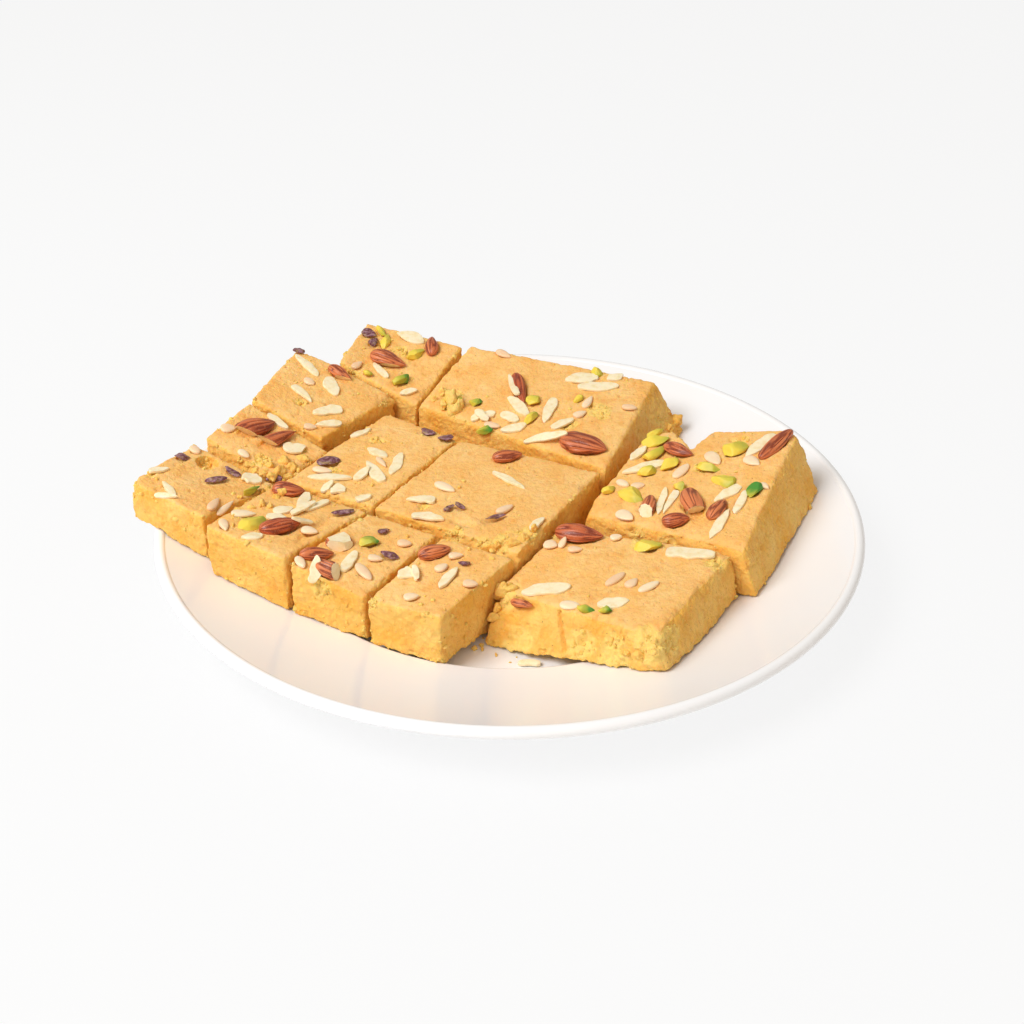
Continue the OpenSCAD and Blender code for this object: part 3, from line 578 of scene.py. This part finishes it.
# How fast a kernel fills out from its tip and from its round end.
POINTED_ENDS = 0.74, 0.47
BLUNT_ENDS = 0.4, 0.35
WELD = 0.001 * MM
LOOK_REACH = 9
# Almonds that differ from the rest, by the picture pixel of their middle. A rim is a cut
# that faces the viewer and shows flesh below the skin; a slab is a piece cut on all sides.
ALMOND_LOOKS = {
    (252, 428): "rim",
    (270, 440): "rim",
    (386, 358): "rim",
    (338, 545): "slab",
    (281, 530): "dark",
    (519, 390): "dark",
    (694, 507): "orange rim",
    (691, 531): "orange",
    (718, 511): "orange",
    (647, 510): "end",
    (345, 376): "orange rim",
    (430, 552): "orange",
    (328, 573): "end",
    (775, 445): "blunt",
    (523, 601): "orange",
}
# How light the skin is, from 0 to 1, where the look says so.
SKIN_TONES = {"dark": 0.12, "orange": 0.95, "orange rim": 0.9, "end": 0.85}

Seat = namedtuple("Seat", "middle turn size")


def seat_of(patch):
    """Where a closed solid sits: its middle, its own three axes and its size along them."""
    corners = np.array([[v.co for v in face.verts] for face in patch])
    area = np.linalg.norm(np.cross(corners[:, 1] - corners[:, 0], corners[:, 2] - corners[:, 0]), axis=1)
    middle = area @ corners.mean(axis=1) / area.sum()
    away = corners - middle
    total = away.sum(axis=1)
    spread = np.einsum("n,nci,ncj->ij", area, away, away) + np.einsum("n,ni,nj->ij", area, total, total)
    axes = np.linalg.eigh(spread)[1].T
    top = np.argmax(np.abs(axes[:, 2]))
    along = np.delete(axes, top, axis=0)[1]
    up = axes[top] * np.sign(axes[top][2])
    along = along * np.sign(along[0])
    turn = np.array([along, np.cross(up, along), up])
    inner = away.reshape(-1, 3) @ turn.T
    low, high = inner.min(axis=0), inner.max(axis=0)
    return Seat(middle + (low + high) / 2 @ turn, turn, high - low)


def seats_of(node):
    """The seats of the separate solids of a CAD node, from left to right."""
    shape = bmesh.new()
    shape.from_mesh(node.data)
    bmesh.ops.remove_doubles(shape, verts=shape.verts, dist=WELD)
    bmesh.ops.triangulate(shape, faces=shape.faces)
    waiting, seats = set(shape.faces), []
    while waiting:
        edge_of_patch, patch = [waiting.pop()], []
        while edge_of_patch:
            face = edge_of_patch.pop()
            patch.append(face)
            for other in {o for edge in face.edges for o in edge.link_faces} & waiting:
                waiting.remove(other)
                edge_of_patch.append(other)
        seats.append(seat_of(patch))
    shape.free()
    return sorted(seats, key=lambda seat: tuple(seat.middle))


def look_at(seat, looks):
    """The word for the nut that shows nearest to this seat's pixel, if one is near."""
    x, y = pixel_of(seat.middle)
    away, word = min((math.hypot(x - px, y - py), word) for (px, py), word in looks.items())
    return word if away < LOOK_REACH else ""


def nut_grid(rings, around, tip):
    """Places along a nut from -1 to 1, closer at its tips, and the angles around it."""
    along = -np.cos(np.linspace(tip, math.pi - tip, rings))
    return np.meshgrid(along, np.linspace(0, 2 * math.pi, around, endpoint=False), indexing="ij")


def tips(values):
    """Adds a value for each of the two tips to the values of a skin's rings."""
    return np.append(values.ravel(), [values[0].mean(), values[-1].mean()])


def almond(seat, seed):
    """A wrinkled almond with its tip at one end; a cut leaves flesh on its flat side."""
    look = look_at(seat, ALMOND_LOOKS)
    u, a = nut_grid(ALMOND_RINGS, ALMOND_AROUND, ALMOND_TIP)
    if lattice(np.array([[seed, 1, 1]]), 5)[0] > 0.5:
        u = -u[::-1]
    lengthwise = np.stack([3.6 * np.cos(a), 3.6 * np.sin(a), 1.1 * u], axis=-1)
    folds = np.abs(2 * value_noise(lengthwise, 1.0, seed) - 1) ** 0.6
    creases = value_noise(lengthwise * [2.2, 2.2, 1.8], 1.0, seed + 1)
    dents = value_noise(np.stack([2 * np.cos(a), 2 * np.sin(a), 2.2 * u], axis=-1), 1.4, seed + 2)
    tip, heel = BLUNT_ENDS if "blunt" in look or "end" in look else POINTED_ENDS
    half = (1 - u) ** tip * (1 + u) ** heel
    half = half / half.max() * (1 + 0.15 * (folds - 0.6) + 0.08 * (creases - 0.5) + 0.16 * (dents - 0.5))
    bend = 0.06 * np.sin(math.pi * u) * (1 if seed % 2 else -1)
    rings = np.stack([1.04 * u, 1.06 * np.cos(a) * half + bend, np.sin(a) * half], axis=-1)
    rings = rings * seat.size / 2
    flesh = np.zeros(u.shape)
    viewer = seat.turn @ -np.array(ahead)
    level = np.array([viewer[0], viewer[1], 0]) / max(math.hypot(viewer[0], viewer[1]), 1e-6)
    cuts = []
    if "rim" in look:
        cuts.append((0.85 * level - [0, 0, 0.5], 0.38 * seat.size[1]))
    if look == "end":
        cuts.append((np.array([np.sign(viewer[0]) * 0.85, 0.2, 0.5]), 0.16 * seat.size[0]))
    if look == "slab":
        cuts += [(np.array([0, 0.1, 1.0]), 0.22 * seat.size[2]), (0.9 * level, 0.3 * seat.size[1])]
        cuts += [(np.array([side, -0.3 * side, 0.3]), 0.34 * seat.size[0]) for side in (-0.9, 0.9)]
    for normal, distance in cuts:
        normal = normal / np.linalg.norm(normal)
        beyond = rings @ normal - distance
        rings = rings - np.clip(beyond, 0, None)[..., None] * normal
        flesh = np.maximum(flesh, smooth_step(beyond, 0, 0.12 * MM))
    points, faces = skin_over(rings)
    tone = SKIN_TONES.get(look)
    tone = 0.35 + 0.4 * lattice(np.array([[seed, 2, 2]]), 5)[0] if tone is None else tone
    looks = {
        "flesh": tips(flesh),
        # How high the skin stands in its wrinkles; the material paints shade in the low places and a
        # highlight on the high ones.
        "fold": tips(np.clip(0.75 * folds + 0.25 * creases, 0, 1)),
        "tone": np.full(len(points), tone),
    }
    return Piece(seat.middle + points @ seat.turn, faces, looks)


# Dried skin and bare flesh of almond: the skin is russet, with painted shade in its folds and a
# painted highlight on its crests, dusty and a little shiny, and the flesh is a matt ivory.
kernel, tree = material_of("dried_almond_skin_and_flesh")
spot = add(tree, "TexCoord").outputs["Object"]
flesh = add(tree, "Attribute", attribute_name="flesh").outputs["Fac"]
fold = add(tree, "Attribute", attribute_name="fold").outputs["Fac"]
tone = add(tree, "Attribute", attribute_name="tone").outputs["Fac"]
mottle = add(tree, "TexNoise", {"Vector": spot, "Scale": 1 / SKIN_MOTTLE, "Detail": 4.0, "Roughness": 0.6})
scurf = add(tree, "TexNoise", {"Vector": spot, "Scale": 1 / SKIN_SCURF, "Detail": 3.0, "Roughness": 0.6})
brown = add(tree, "MapRange", {"Value": tone, "From Min": 0.1, "From Max": 1.0})
brown = add(tree, "Mix", {"Factor": brown, "A": SKIN, "B": SKIN_PALE_AND_HIGHLIGHT}, data_type="RGBA")
# Painted highlight: the crests of the wrinkles are lightened.
crest_highlight = add(tree, "MapRange", {"Value": fold, "From Min": 0.6, "From Max": 0.85, "To Max": 0.8})
brown = add(tree, "Mix", {"Factor": crest_highlight, "A": brown, "B": SKIN_PALE_AND_HIGHLIGHT}, data_type="RGBA")
# Painted shade: the folds between the wrinkles are darkened.
crease_shade = add(tree, "MapRange", {"Value": fold, "From Min": 0.52, "From Max": 0.3, "To Max": 0.85})
brown = add(tree, "Mix", {"Factor": crease_shade, "A": brown, "B": SKIN_FOLD_SHADE}, data_type="RGBA")
dusty = add(tree, "MapRange", {"Value": scurf, "From Min": 0.58, "From Max": 0.72, "To Max": 0.45})
brown = add(tree, "Mix", {"Factor": dusty, "A": brown, "B": SKIN_DUST}, data_type="RGBA")
grain = add(tree, "MapRange", {"Value": mottle, "From Min": 0.45, "From Max": 0.7, "To Max": 0.8})
ivory = add(tree, "Mix", {"Factor": grain, "A": FLESH, "B": FLESH_GRAIN}, data_type="RGBA")
cut_open = add(tree, "MapRange", {"Value": flesh, "From Min": 0.35, "From Max": 0.65})
colour = add(tree, "Mix", {"Factor": cut_open, "A": brown, "B": ivory}, data_type="RGBA")
pores = add(tree, "Bump", {"Height": scurf, "Distance": 0.12 * MM, "Strength": 0.5})
shader = add(
    tree,
    "BsdfPrincipled",
    {
        "Base Color": colour,
        "Roughness": 0.36,
        "IOR": 1.46,
        "Specular IOR Level": 0.5,
        "Subsurface Weight": 0.12,
        "Subsurface Radius": (1.0, 0.6, 0.3),
        "Subsurface Scale": 0.8 * MM,
        "Normal": pores,
    },
)
add(tree, "OutputMaterial", {"Surface": shader})


def seat_nuts(kind, called, make, material):
    """Lays detailed nuts of one kind where the CAD has them, in place of the CAD's."""
    for number, name in enumerate(BLOCKS):
        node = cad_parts.get(f"{name}_{kind}")
        if node:
            pieces = [make(seat, 100 * number + 7 * i) for i, seat in enumerate(seats_of(node))]
            carried[name] += pieces
            in_one(f"{name}_{called}", pieces, material, name, f"{name}_{kind}")


seat_nuts("almonds", "almond_kernels", almond, kernel)


# The slivers: blanched almonds sliced lengthwise by machine. Each is a thin slip of ivory
# flesh, pointed or blunt at its ends, a little bent, and some keep a thread of brown skin.
SLIVER_T = 1.6 * MM
SLIVER_FULLNESS = 1.25
SLIVER_RINGS = 34
SLIVER_AROUND = 32
SLIVER_TIP = 0.04
# Slivers with a brown edge, by the picture pixel of their middle. Two close to them have none.
SLIVER_LOOKS = {
    (543, 595): "edge",
    (580, 377): "edge",
    (600, 388): "edge",
    (568, 425): "edge",
    (763, 439): "edge",
    (551, 409): "",
    (340, 478): "edge",
    (325, 478): "edge",
    (329, 487): "",
    (694, 482): "edge",
}
# Slivers strewn loose over a block, in picture pixels: where each begins and ends, and how
# wide it shows. Those later in a list lie over those before them.
STREWN_SLIVERS = {
    "front_left": [
        ((306, 512), (328, 502), 8),
        ((291, 516), (316, 503), 7),
        ((291, 519), (312, 524), 6),
    ],
    "back_right": [
        ((509, 378), (518, 398), 6),
        ((476, 412), (488, 423), 7),
        ((524, 443), (568, 434), 9),
    ],
    "front": [((312, 585), (317, 557), 9)],
    "mid_left": [((323, 495), (334, 483), 7), ((355, 481), (370, 467), 8)],
    "front_mid": [((414, 568), (417, 582), 6)],
    "far_left": [((156, 498), (179, 499), 5)],
}
# A chipped almond that lies half under a sliver on the front right block, given as a strewn
# sliver is.
CHIPPED_ALMOND = (513, 602), (534, 607), 9
CHIPPED_T = 4 * MM
# A strewn nut is laid on the highest of what lies under these shares of its length, looked
# for from some millimetres above, and settles by a share of that height and of its thickness.
FELT_AT = 0.2, 0.35, 0.5, 0.65, 0.8
FELT_FROM = 10
HEIGHT_SHARE, THICK_SHARE = 0.8, 0.3
CHIPPED_SEED = 41
FALLEN_SEED = 3


def sliver(seat, seed):
    """A thin slice of almond with crisp edges, one side bowed more than the other."""
    look = look_at(seat, SLIVER_LOOKS)
    share = lattice(np.array([[seed, k, 3] for k in range(7)]), 9)
    u, a = nut_grid(SLIVER_RINGS, SLIVER_AROUND, SLIVER_TIP)
    half = (1 - u) ** (0.2 + 0.75 * share[0]) * (1 + u) ** (0.2 + 0.7 * share[1])
    half = half / half.max()
    edge = value_noise(np.stack([9 * np.sign(np.cos(a)), 0 * a, 2.6 * u], axis=-1), 1.0, seed)
    wave = value_noise(np.stack([1.5 * np.cos(a), 1.5 * np.sin(a), 3 * u], axis=-1), 1.0, seed)
    y = np.sign(np.cos(a)) * np.abs(np.cos(a)) ** 0.25 * half * (1 + 0.4 * (edge - 0.5)) * SLIVER_FULLNESS
    z = np.sign(np.sin(a)) * np.abs(np.sin(a)) ** 0.25 * np.minimum(1, 3 * half) ** 0.5
    z = z * (0.55 + 0.2 * wave)
    twist = 0.3 * (share[2] - 0.5) * u
    rings = np.stack([u, y, z], axis=-1) * seat.size / 2
    turned_y = rings[..., 1] * np.cos(twist) - rings[..., 2] * np.sin(twist)
    rings[..., 2] += rings[..., 1] * np.sin(twist) - 0.025 * seat.size[0] * (share[3] - 0.2) * u * u
    rings[..., 1] = turned_y + 0.35 * seat.size[1] * (share[4] - 0.5) * (1 - u * u)
    skin = smooth_step(np.cos(a), 0.8, 0.95) if look == "edge" or share[5] > 0.82 else np.zeros(u.shape)
    points, faces = skin_over(rings)
    looks = {
        "flesh": 1 - tips(skin),
        # A faint wave that the material turns into painted shade and highlight on the brown skin edge.
        "fold": tips(0.45 + 0.3 * wave),
        "tone": np.full(len(points), share[6]),
    }
    return Piece(seat.middle + points @ seat.turn, faces, looks)


def surface_of(name):
    """The sweet of a block together with all that lies on it so far."""
    points = [tuple(v.co) for v in sculpted[name].vertices]
    faces = faces_of(sculpted[name])
    for piece in carried[name]:
        start = len(points)
        points += piece.points.tolist()
        faces += [tuple(start + i for i in face) for face in piece.faces]
    return BVHTree.FromPolygons(points, faces)


def seat_on(surface, start, end, wide, thick):
    """The seat of a nut whose ends show at two pixels, at rest on what lies beneath."""
    first, up_here = hit_by(surface, start)
    last, up_there = hit_by(surface, end)
    up = up_here + up_there + Vector((0, 0, 1))
    along = (last - first).normalized()
    up = (up - along * up.dot(along)).normalized()
    middle, proud = (first + last) / 2, 0.0
    for share in FELT_AT:
        below = first.lerp(last, share)
        ground = surface.ray_cast(below + up * FELT_FROM * MM, -up)[0]
        proud = max(proud, (ground - below).dot(up) if ground else 0.0)
    middle += up * (HEIGHT_SHARE * proud + THICK_SHARE * thick)
    width = wide * (middle - STAND_AT).dot(ahead) / focal
    turn = np.array([along, up.cross(along), up])
    return Seat(np.array(middle), turn, np.array([(last - first).length, width, thick]))


def strew_nuts(places, thick, called, make, material):
    """Lays loose nuts of one kind over what lies on their blocks so far."""
    for name, spots in places.items():
        strewn = []
        for i, (start, end, wide) in enumerate(spots):
            seat = seat_on(surface_of(name), start, end, wide, thick)
            strewn.append(make(seat, 100 * BLOCKS.index(name) + 50 + i))
            carried[name].append(strewn[-1])
        in_one(f"{name}_{called}", strewn, material, name)


half_buried = seat_on(surface_of("front_right"), *CHIPPED_ALMOND, CHIPPED_T)
chipped = [almond(half_buried, CHIPPED_SEED)]
carried["front_right"] += chipped
in_one("front_right_chipped_almond", chipped, kernel, "front_right")
seat_nuts("slivers", "sliver_slips", sliver, kernel)
strew_nuts(STREWN_SLIVERS, SLIVER_T, "strewn_slips", sliver, kernel)
fallen = [sliver(seat, FALLEN_SEED) for seat in seats_of(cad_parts["loose_sliver"])]
in_one("fallen_slip", fallen, kernel, "fallen_sliver", "loose_sliver")


# The melon seeds: peeled, flat and smooth, drop shaped and a little waxy. The sweet's own
# fat has dulled them to a pinkish cream.
SEED_CREAM = "#FBE2BE"
SEED_PINK = "#F1CBA2"
SEED_FILM = 3 * MM
SEED_T = 1.9 * MM
SEED_RINGS = 26
SEED_AROUND = 28
SEED_TIP = 0.06
# Seeds strewn loose over a block, given as the strewn slivers are.
STREWN_SEEDS = {
    "far_left": [((217, 516), (233, 502), 7)],
    "front_right": [((560, 549), (566, 538), 7)],
    "mid_left": [((377, 459), (386, 468), 6)],
}


def seed_kernel(seat, seed):
    """A flat drop with one pointed end and a soft rim."""
    share = lattice(np.array([[seed, k, 4] for k in range(3)]), 9)
    u, a = nut_grid(SEED_RINGS, SEED_AROUND, SEED_TIP)
    if share[0] > 0.5:
        u = -u[::-1]
    half = (1 - u) ** (0.5 + 0.4 * share[1]) * (1 + u) ** 0.42
    half = half / half.max()
    z = 0.75 * np.sign(np.sin(a)) * np.abs(np.sin(a)) ** 0.7 * half**0.5
    rings = np.stack([u, np.cos(a) * half, z], axis=-1) * seat.size / 2
    points, faces = skin_over(rings)
    return Piece(seat.middle + points @ seat.turn, faces, {"tone": np.full(len(points), share[2])})


# Peeled melon seed: smooth and waxy, with a soft wide shine.
melon, tree = material_of("peeled_melon_seed")
spot = add(tree, "TexCoord").outputs["Object"]
tone = add(tree, "Attribute", attribute_name="tone").outputs["Fac"]
film = add(tree, "TexNoise", {"Vector": spot, "Scale": 1 / SEED_FILM, "Detail": 3.0})
pinkness = add(tree, "Math", {0: tone, 1: film}, operation="ADD")
pinkness = add(tree, "MapRange", {"Value": pinkness, "From Min": 0.5, "From Max": 1.4})
cream = add(tree, "Mix", {"Factor": pinkness, "A": SEED_CREAM, "B": SEED_PINK}, data_type="RGBA")
ripple = add(tree, "Bump", {"Height": film, "Distance": 0.2 * MM, "Strength": 0.3})
shader = add(
    tree,
    "BsdfPrincipled",
    {
        "Base Color": cream,
        "Roughness": 0.38,
        "IOR": 1.45,
        "Specular IOR Level": 0.4,
        "Subsurface Weight": 0.3,
        "Subsurface Radius": (1.0, 0.7, 0.45),
        "Subsurface Scale": 1.2 * MM,
        "Normal": ripple,
    },
)
add(tree, "OutputMaterial", {"Surface": shader})

seat_nuts("seeds", "seed_kernels", seed_kernel, melon)
strew_nuts(STREWN_SEEDS, SEED_T, "strewn_seeds", seed_kernel, melon)


# The pistachios: kernels chopped by knife. Flat cuts show yellow to green flesh, and some
# bits keep the thin purple-brown skin of the kernel's outside.
PISTACHIO_YELLOW = "#EFD552"
PISTACHIO_GREEN = "#A3AE3C"
PISTACHIO_DEEP = "#4E9438"
PISTACHIO_SKIN = "#6A3A42"
PISTACHIO_SKIN_PALE = "#B58F98"
PISTACHIO_MOTTLE = 1.2 * MM
PISTACHIO_T = 3.0 * MM
# A bit that is all skin is this much flatter than a chopped one.
FLAKE_SHARE = 0.42
PISTACHIO_CUTS = 11
# Bits that aren't yellow, by the picture pixel of their middle.
PISTACHIO_LOOKS = dict.fromkeys(
    [
        (176, 455), (233, 474), (217, 481), (325, 464), (275, 479), (340, 513), (302, 349), (367, 334),
        (372, 342), (448, 509), (460, 508), (497, 518), (435, 428), (451, 437), (383, 533), (384, 557),
        (465, 565), (644, 439), (597, 493),
    ],
    "skin",
)
PISTACHIO_LOOKS |= dict.fromkeys(
    [(250, 491), (477, 404), (486, 432), (367, 544), (587, 611), (608, 613), (675, 497), (395, 378)],
    "green",
)
PISTACHIO_LOOKS[750, 492] = "deep"
# How green a bit is, from 0 to 1, where its look says so.
GREENNESS = {"green": 0.7, "deep": 1.0, "skin": 0.3}
STREWN_PISTACHIOS = {
    "left": [((268, 480), (282, 478), 8)],
    "back_right": [((479, 434), (494, 430), 8)],
    "front_mid": [((459, 565), (471, 565), 6)],
}


def round_blank(subdivisions):
    """The points and faces of a ball of radius 1, to be cut or broken into a bit."""
    ball = bmesh.new()
    bmesh.ops.create_icosphere(ball, subdivisions=subdivisions, radius=1.0)
    points = np.array([v.co for v in ball.verts])
    faces = [tuple(v.index for v in face.verts) for face in ball.faces]
    ball.free()
    return points, faces


def chopped(seat, seed):
    """A lump of kernel with a few flat knife cuts through it."""
    look = look_at(seat, PISTACHIO_LOOKS)
    points, faces = round_blank(4)
    cells = np.array([[seed, k, 7] for k in range(3 * PISTACHIO_CUTS)])
    cuts = (lattice(cells, 9).reshape(-1, 3) - 0.5) * 2
    for cut in cuts:
        normal = cut / np.linalg.norm(cut)
        beyond = points @ normal - (0.52 + 0.22 * abs(cut[0]))
        points = points - np.clip(beyond, 0, None)[:, None] * normal
    rugged = value_noise(points, 0.4, seed) - 0.5
    greenness = GREENNESS.get(look, 0.1 + 0.25 * lattice(cells, 3)[0])
    greenness = greenness + 0.45 * points[:, 0] + 0.3 * rugged
    points = points * (1.3 + 0.16 * rugged)[:, None] * seat.size / 2
    if look == "skin":
        points[:, 2] *= FLAKE_SHARE
    looks = {
        "skin": np.clip(1.1 + 0.9 * rugged, 0, 1) if look == "skin" else np.zeros(len(points)),
        "green": np.clip(greenness, 0, 1),
    }
    return Piece(seat.middle + points @ seat.turn, faces, looks)


# Chopped pistachio: oily flesh that turns from yellow to green, under a thin purple skin.
pistachio, tree = material_of("chopped_pistachio")
spot = add(tree, "TexCoord").outputs["Object"]
skin = add(tree, "Attribute", attribute_name="skin").outputs["Fac"]
green = add(tree, "Attribute", attribute_name="green").outputs["Fac"]
mottle = add(
    tree, "TexNoise", {"Vector": spot, "Scale": 1 / PISTACHIO_MOTTLE, "Detail": 4.0, "Roughness": 0.6}
)
greener = add(tree, "MapRange", {"Value": green, "From Min": 0.1, "From Max": 0.8})
flesh = add(tree, "Mix", {"Factor": greener, "A": PISTACHIO_YELLOW, "B": PISTACHIO_GREEN}, data_type="RGBA")
deeper = add(tree, "MapRange", {"Value": green, "From Min": 0.8, "From Max": 1.0})
flesh = add(tree, "Mix", {"Factor": deeper, "A": flesh, "B": PISTACHIO_DEEP}, data_type="RGBA")
paler = add(tree, "MapRange", {"Value": mottle, "From Min": 0.45, "From Max": 0.7})
purple = add(
    tree, "Mix", {"Factor": paler, "A": PISTACHIO_SKIN, "B": PISTACHIO_SKIN_PALE}, data_type="RGBA"
)
colour = add(tree, "Mix", {"Factor": skin, "A": flesh, "B": purple}, data_type="RGBA")
rugged = add(tree, "Bump", {"Height": mottle, "Distance": 0.3 * MM, "Strength": 0.5})
shader = add(
    tree,
    "BsdfPrincipled",
    {
        "Base Color": colour,
        "Roughness": 0.42,
        "IOR": 1.46,
        "Specular IOR Level": 0.4,
        "Subsurface Weight": 0.3,
        "Subsurface Radius": (1.0, 0.9, 0.3),
        "Subsurface Scale": 1.2 * MM,
        "Normal": rugged,
    },
)
add(tree, "OutputMaterial", {"Surface": shader})

seat_nuts("pistachios", "pistachio_bits", chopped, pistachio)
strew_nuts(STREWN_PISTACHIOS, PISTACHIO_T, "strewn_pistachios", chopped, pistachio)


# The crumbs: flakes of the sweet that broke off when it was cut. They cling to the worn
# edges and lie at the feet of the blocks, in the plate's well.
CRUMBS_PER_BLOCK = 130
CRUMBS_AT_FEET = 30
CRUMB_LEAST = 0.3 * MM
CRUMB_MOST = 0.9 * MM
# Crumbs of up to this radius are all threads.
THREAD_RADIUS = 0.7 * MM
# No crumb clings below the first height over a block's foot. Those on the plate fell from
# below the second, and lie between the first and second distance in front of it.
CLINGS_ABOVE = 4 * MM
FELL_BELOW = 3 * MM
FELL_NEAR, FELL_FAR = 0.5, 5
DROP_FROM = 40 * MM
# How likely a crumb clings away from a worn edge, where 1 is as likely as on one.
CLINGS_ANYWHERE = 0.01
# Sides shed crumbs where their normal points up or down by less than this.
STEEP = 0.5
# How far the middle of a clinging crumb stands out, in radii.
CRUMB_PROUD = 0.2
SEEDS_IN_USE = 997
# Lumps that crumbled off a block and cling to it: their picture pixel and radius in millimetres,
# and how pale they are where they are all threads.
LUMPS = {
    "left": [
        ((248, 466), 1.4), ((256, 471), 1.6), ((264, 473), 1.9), ((272, 477), 1.7), ((279, 472), 2.2),
        ((288, 479), 1.8), ((292, 468), 2.1), ((300, 472), 1.6), ((303, 459), 1.8), ((240, 461), 1.2),
        ((284, 462), 1.7), ((310, 463), 1.4), ((270, 466), 1.5), ((296, 476), 1.4), ((281, 481), 1.4),
    ],
    "back_right": [
        ((452, 399), 3.4, 0.9), ((443, 393), 2.4, 0.8), ((460, 404), 2.6, 0.9), ((444, 405), 2.6, 0.9),
        ((455, 411), 2.4, 0.8), ((434, 400), 1.6, 0.7), ((676, 420), 2.4), ((670, 428), 1.8),
    ],
    "front_right": [
        ((504, 592), 2.8), ((500, 600), 2.6), ((498, 609), 2.2), ((511, 589), 1.8), ((496, 618), 1.8),
        ((640, 655), 1.6), ((655, 652), 1.5), ((625, 652), 1.3), ((672, 648), 1.4),
    ],
    "middle": [((512, 545), 2.0), ((524, 538), 2.2), ((498, 546), 1.8), ((534, 528), 1.6)],
    "far_left": [
        ((262, 494), 1.5), ((254, 499), 1.3), ((246, 503), 1.4), ((240, 497), 1.1), ((268, 490), 1.2),
    ],
    "front_left": [
        ((276, 497), 1.5), ((262, 505), 1.6), ((270, 507), 1.2), ((252, 508), 1.3), ((282, 492), 1.3),
    ],
}


def crumb(at, radius, seed, threads=0.0):
    """A jagged flake of sweet. The smallest are all threads, and so the palest."""
    points, faces = round_blank(2 if radius < MM else 4)
    stretch = 0.55 + 0.9 * lattice(np.array([[seed, k, 1] for k in range(3)]), 4)
    jag = 0.6 + 0.8 * value_noise(points + seed, 0.6, seed)
    points = points * jag[:, None] * stretch * radius
    ones = np.ones(len(points))
    threads = max(threads, min(1.0, THREAD_RADIUS / radius) * stretch[0] / 1.6)
    return Piece(at + points, faces, {"cut": ones, "worn": ones * threads})


chance = random.Random(8)


def crumb_radius():
    """A radius at random, where most are small."""
    return CRUMB_LEAST + (CRUMB_MOST - CRUMB_LEAST) * chance.random() ** 3


fallen_crumbs = []
for name in BLOCKS:
    mesh = sculpted[name]
    worn_here = values_of(mesh.attributes["worn"].data, "value", 1)[:, 0]
    points, normals = values_of(mesh.vertices, "co", 3), values_of(mesh.vertices, "normal", 3)
    foot = points[:, 2].min()
    weight = (CLINGS_ANYWHERE + worn_here**2) * (points[:, 2] > foot + CLINGS_ABOVE)
    picked = chance.choices(range(len(points)), weights=weight, k=CRUMBS_PER_BLOCK)
    pieces = []
    for i in picked:
        radius = crumb_radius()
        pieces.append(crumb(points[i] + CRUMB_PROUD * radius * normals[i], radius, i % SEEDS_IN_USE))
    surface = surface_of(name)
    for pixel, radius, *threads in LUMPS.get(name, []):
        at, _ = hit_by(surface, pixel)
        if at:
            pieces.append(crumb(np.array(at), radius * MM, pixel[0], *threads))
    in_one(name + "_crumbs", pieces, sweet, name)
    at_foot = np.flatnonzero((points[:, 2] < foot + FELL_BELOW) & (np.abs(normals[:, 2]) < STEEP))
    for i in chance.choices(at_foot.tolist(), k=CRUMBS_AT_FEET):
        out = Vector(normals[i]).to_2d().to_3d() * chance.uniform(FELL_NEAR, FELL_FAR) * MM
        over_it = Vector(points[i]) + out + Vector((0, 0, DROP_FROM))
        ground = glaze_surface.ray_cast(over_it, Vector((0, 0, -1)))[0]
        radius = crumb_radius()
        if ground:
            at = np.array(ground) + [0, 0, 0.6 * radius]
            fallen_crumbs.append(crumb(at, radius, i % SEEDS_IN_USE))
in_one("crumbs_on_plate", fallen_crumbs, sweet, "plate")


# The table and the lamps: a wide pale card, a soft lamp from the left and above, and a
# weaker one from the front, as for a plain product picture.
TABLE_WHITE = "#FAFAFA"
TABLE_REACH = 4.0
OWN_LIGHT = 0.9
SKY = "#FFF6EA"
SKY_STRENGTH = 0.42
# Each lamp's place and size in metres, its power in watts and its colour.
LAMPS = {
    "window": ((-0.75, -0.45, 1.05), 0.7, 16.0, "#FBFDFF"),
    "bounce": ((0.55, -0.9, 0.45), 0.9, 1.3, "#FFEEDC"),
}

# Pale card: even and matt, and close to white where the eye or a mirror sees it.
table_card, tree = material_of("pale_card")
ray = add(tree, "LightPath").outputs
straight = add(tree, "Math", {0: ray["Is Camera Ray"], 1: ray["Is Glossy Ray"]}, operation="MAXIMUM")
viewed = add(tree, "Math", {0: straight, 1: ray["Is Transmission Ray"]}, operation="MAXIMUM")
card = add(tree, "BsdfPrincipled", {"Base Color": TABLE_WHITE, "Roughness": 0.9})
glow = add(tree, "Emission", {"Color": TABLE_WHITE, "Strength": 1.0})
lit_card = add(tree, "MixShader", {"Fac": OWN_LIGHT, 1: card, 2: glow})
shown = add(tree, "MixShader", {"Fac": viewed, 1: card, 2: lit_card})
add(tree, "OutputMaterial", {"Surface": shown})

sheet = bpy.data.meshes.new("table")
sheet.from_pydata(
    [(x * TABLE_REACH, y * TABLE_REACH, 0) for x, y in ((-1, -1), (1, -1), (1, 1), (-1, 1))],
    [],
    [(0, 1, 2, 3)],
)
sheet.materials.append(table_card)
table = bpy.data.objects.new("table", sheet)
bpy.context.scene.collection.objects.link(table)

world = bpy.data.worlds.new("studio")
world.use_nodes = True
bpy.context.scene.world = world
sky = world.node_tree.nodes["Background"]
sky.inputs["Color"].default_value = linear(SKY)
sky.inputs["Strength"].default_value = SKY_STRENGTH

for name, (place, size, watts, colour) in LAMPS.items():
    light = bpy.data.lights.new(name, "AREA")
    light.size = size
    light.energy = watts
    light.color = linear(colour)[:3]
    lamp = bpy.data.objects.new(name, light)
    lamp.location = place
    lamp.rotation_euler = (-Vector(place)).to_track_quat("-Z", "Y").to_euler()
    bpy.context.scene.collection.objects.link(lamp)
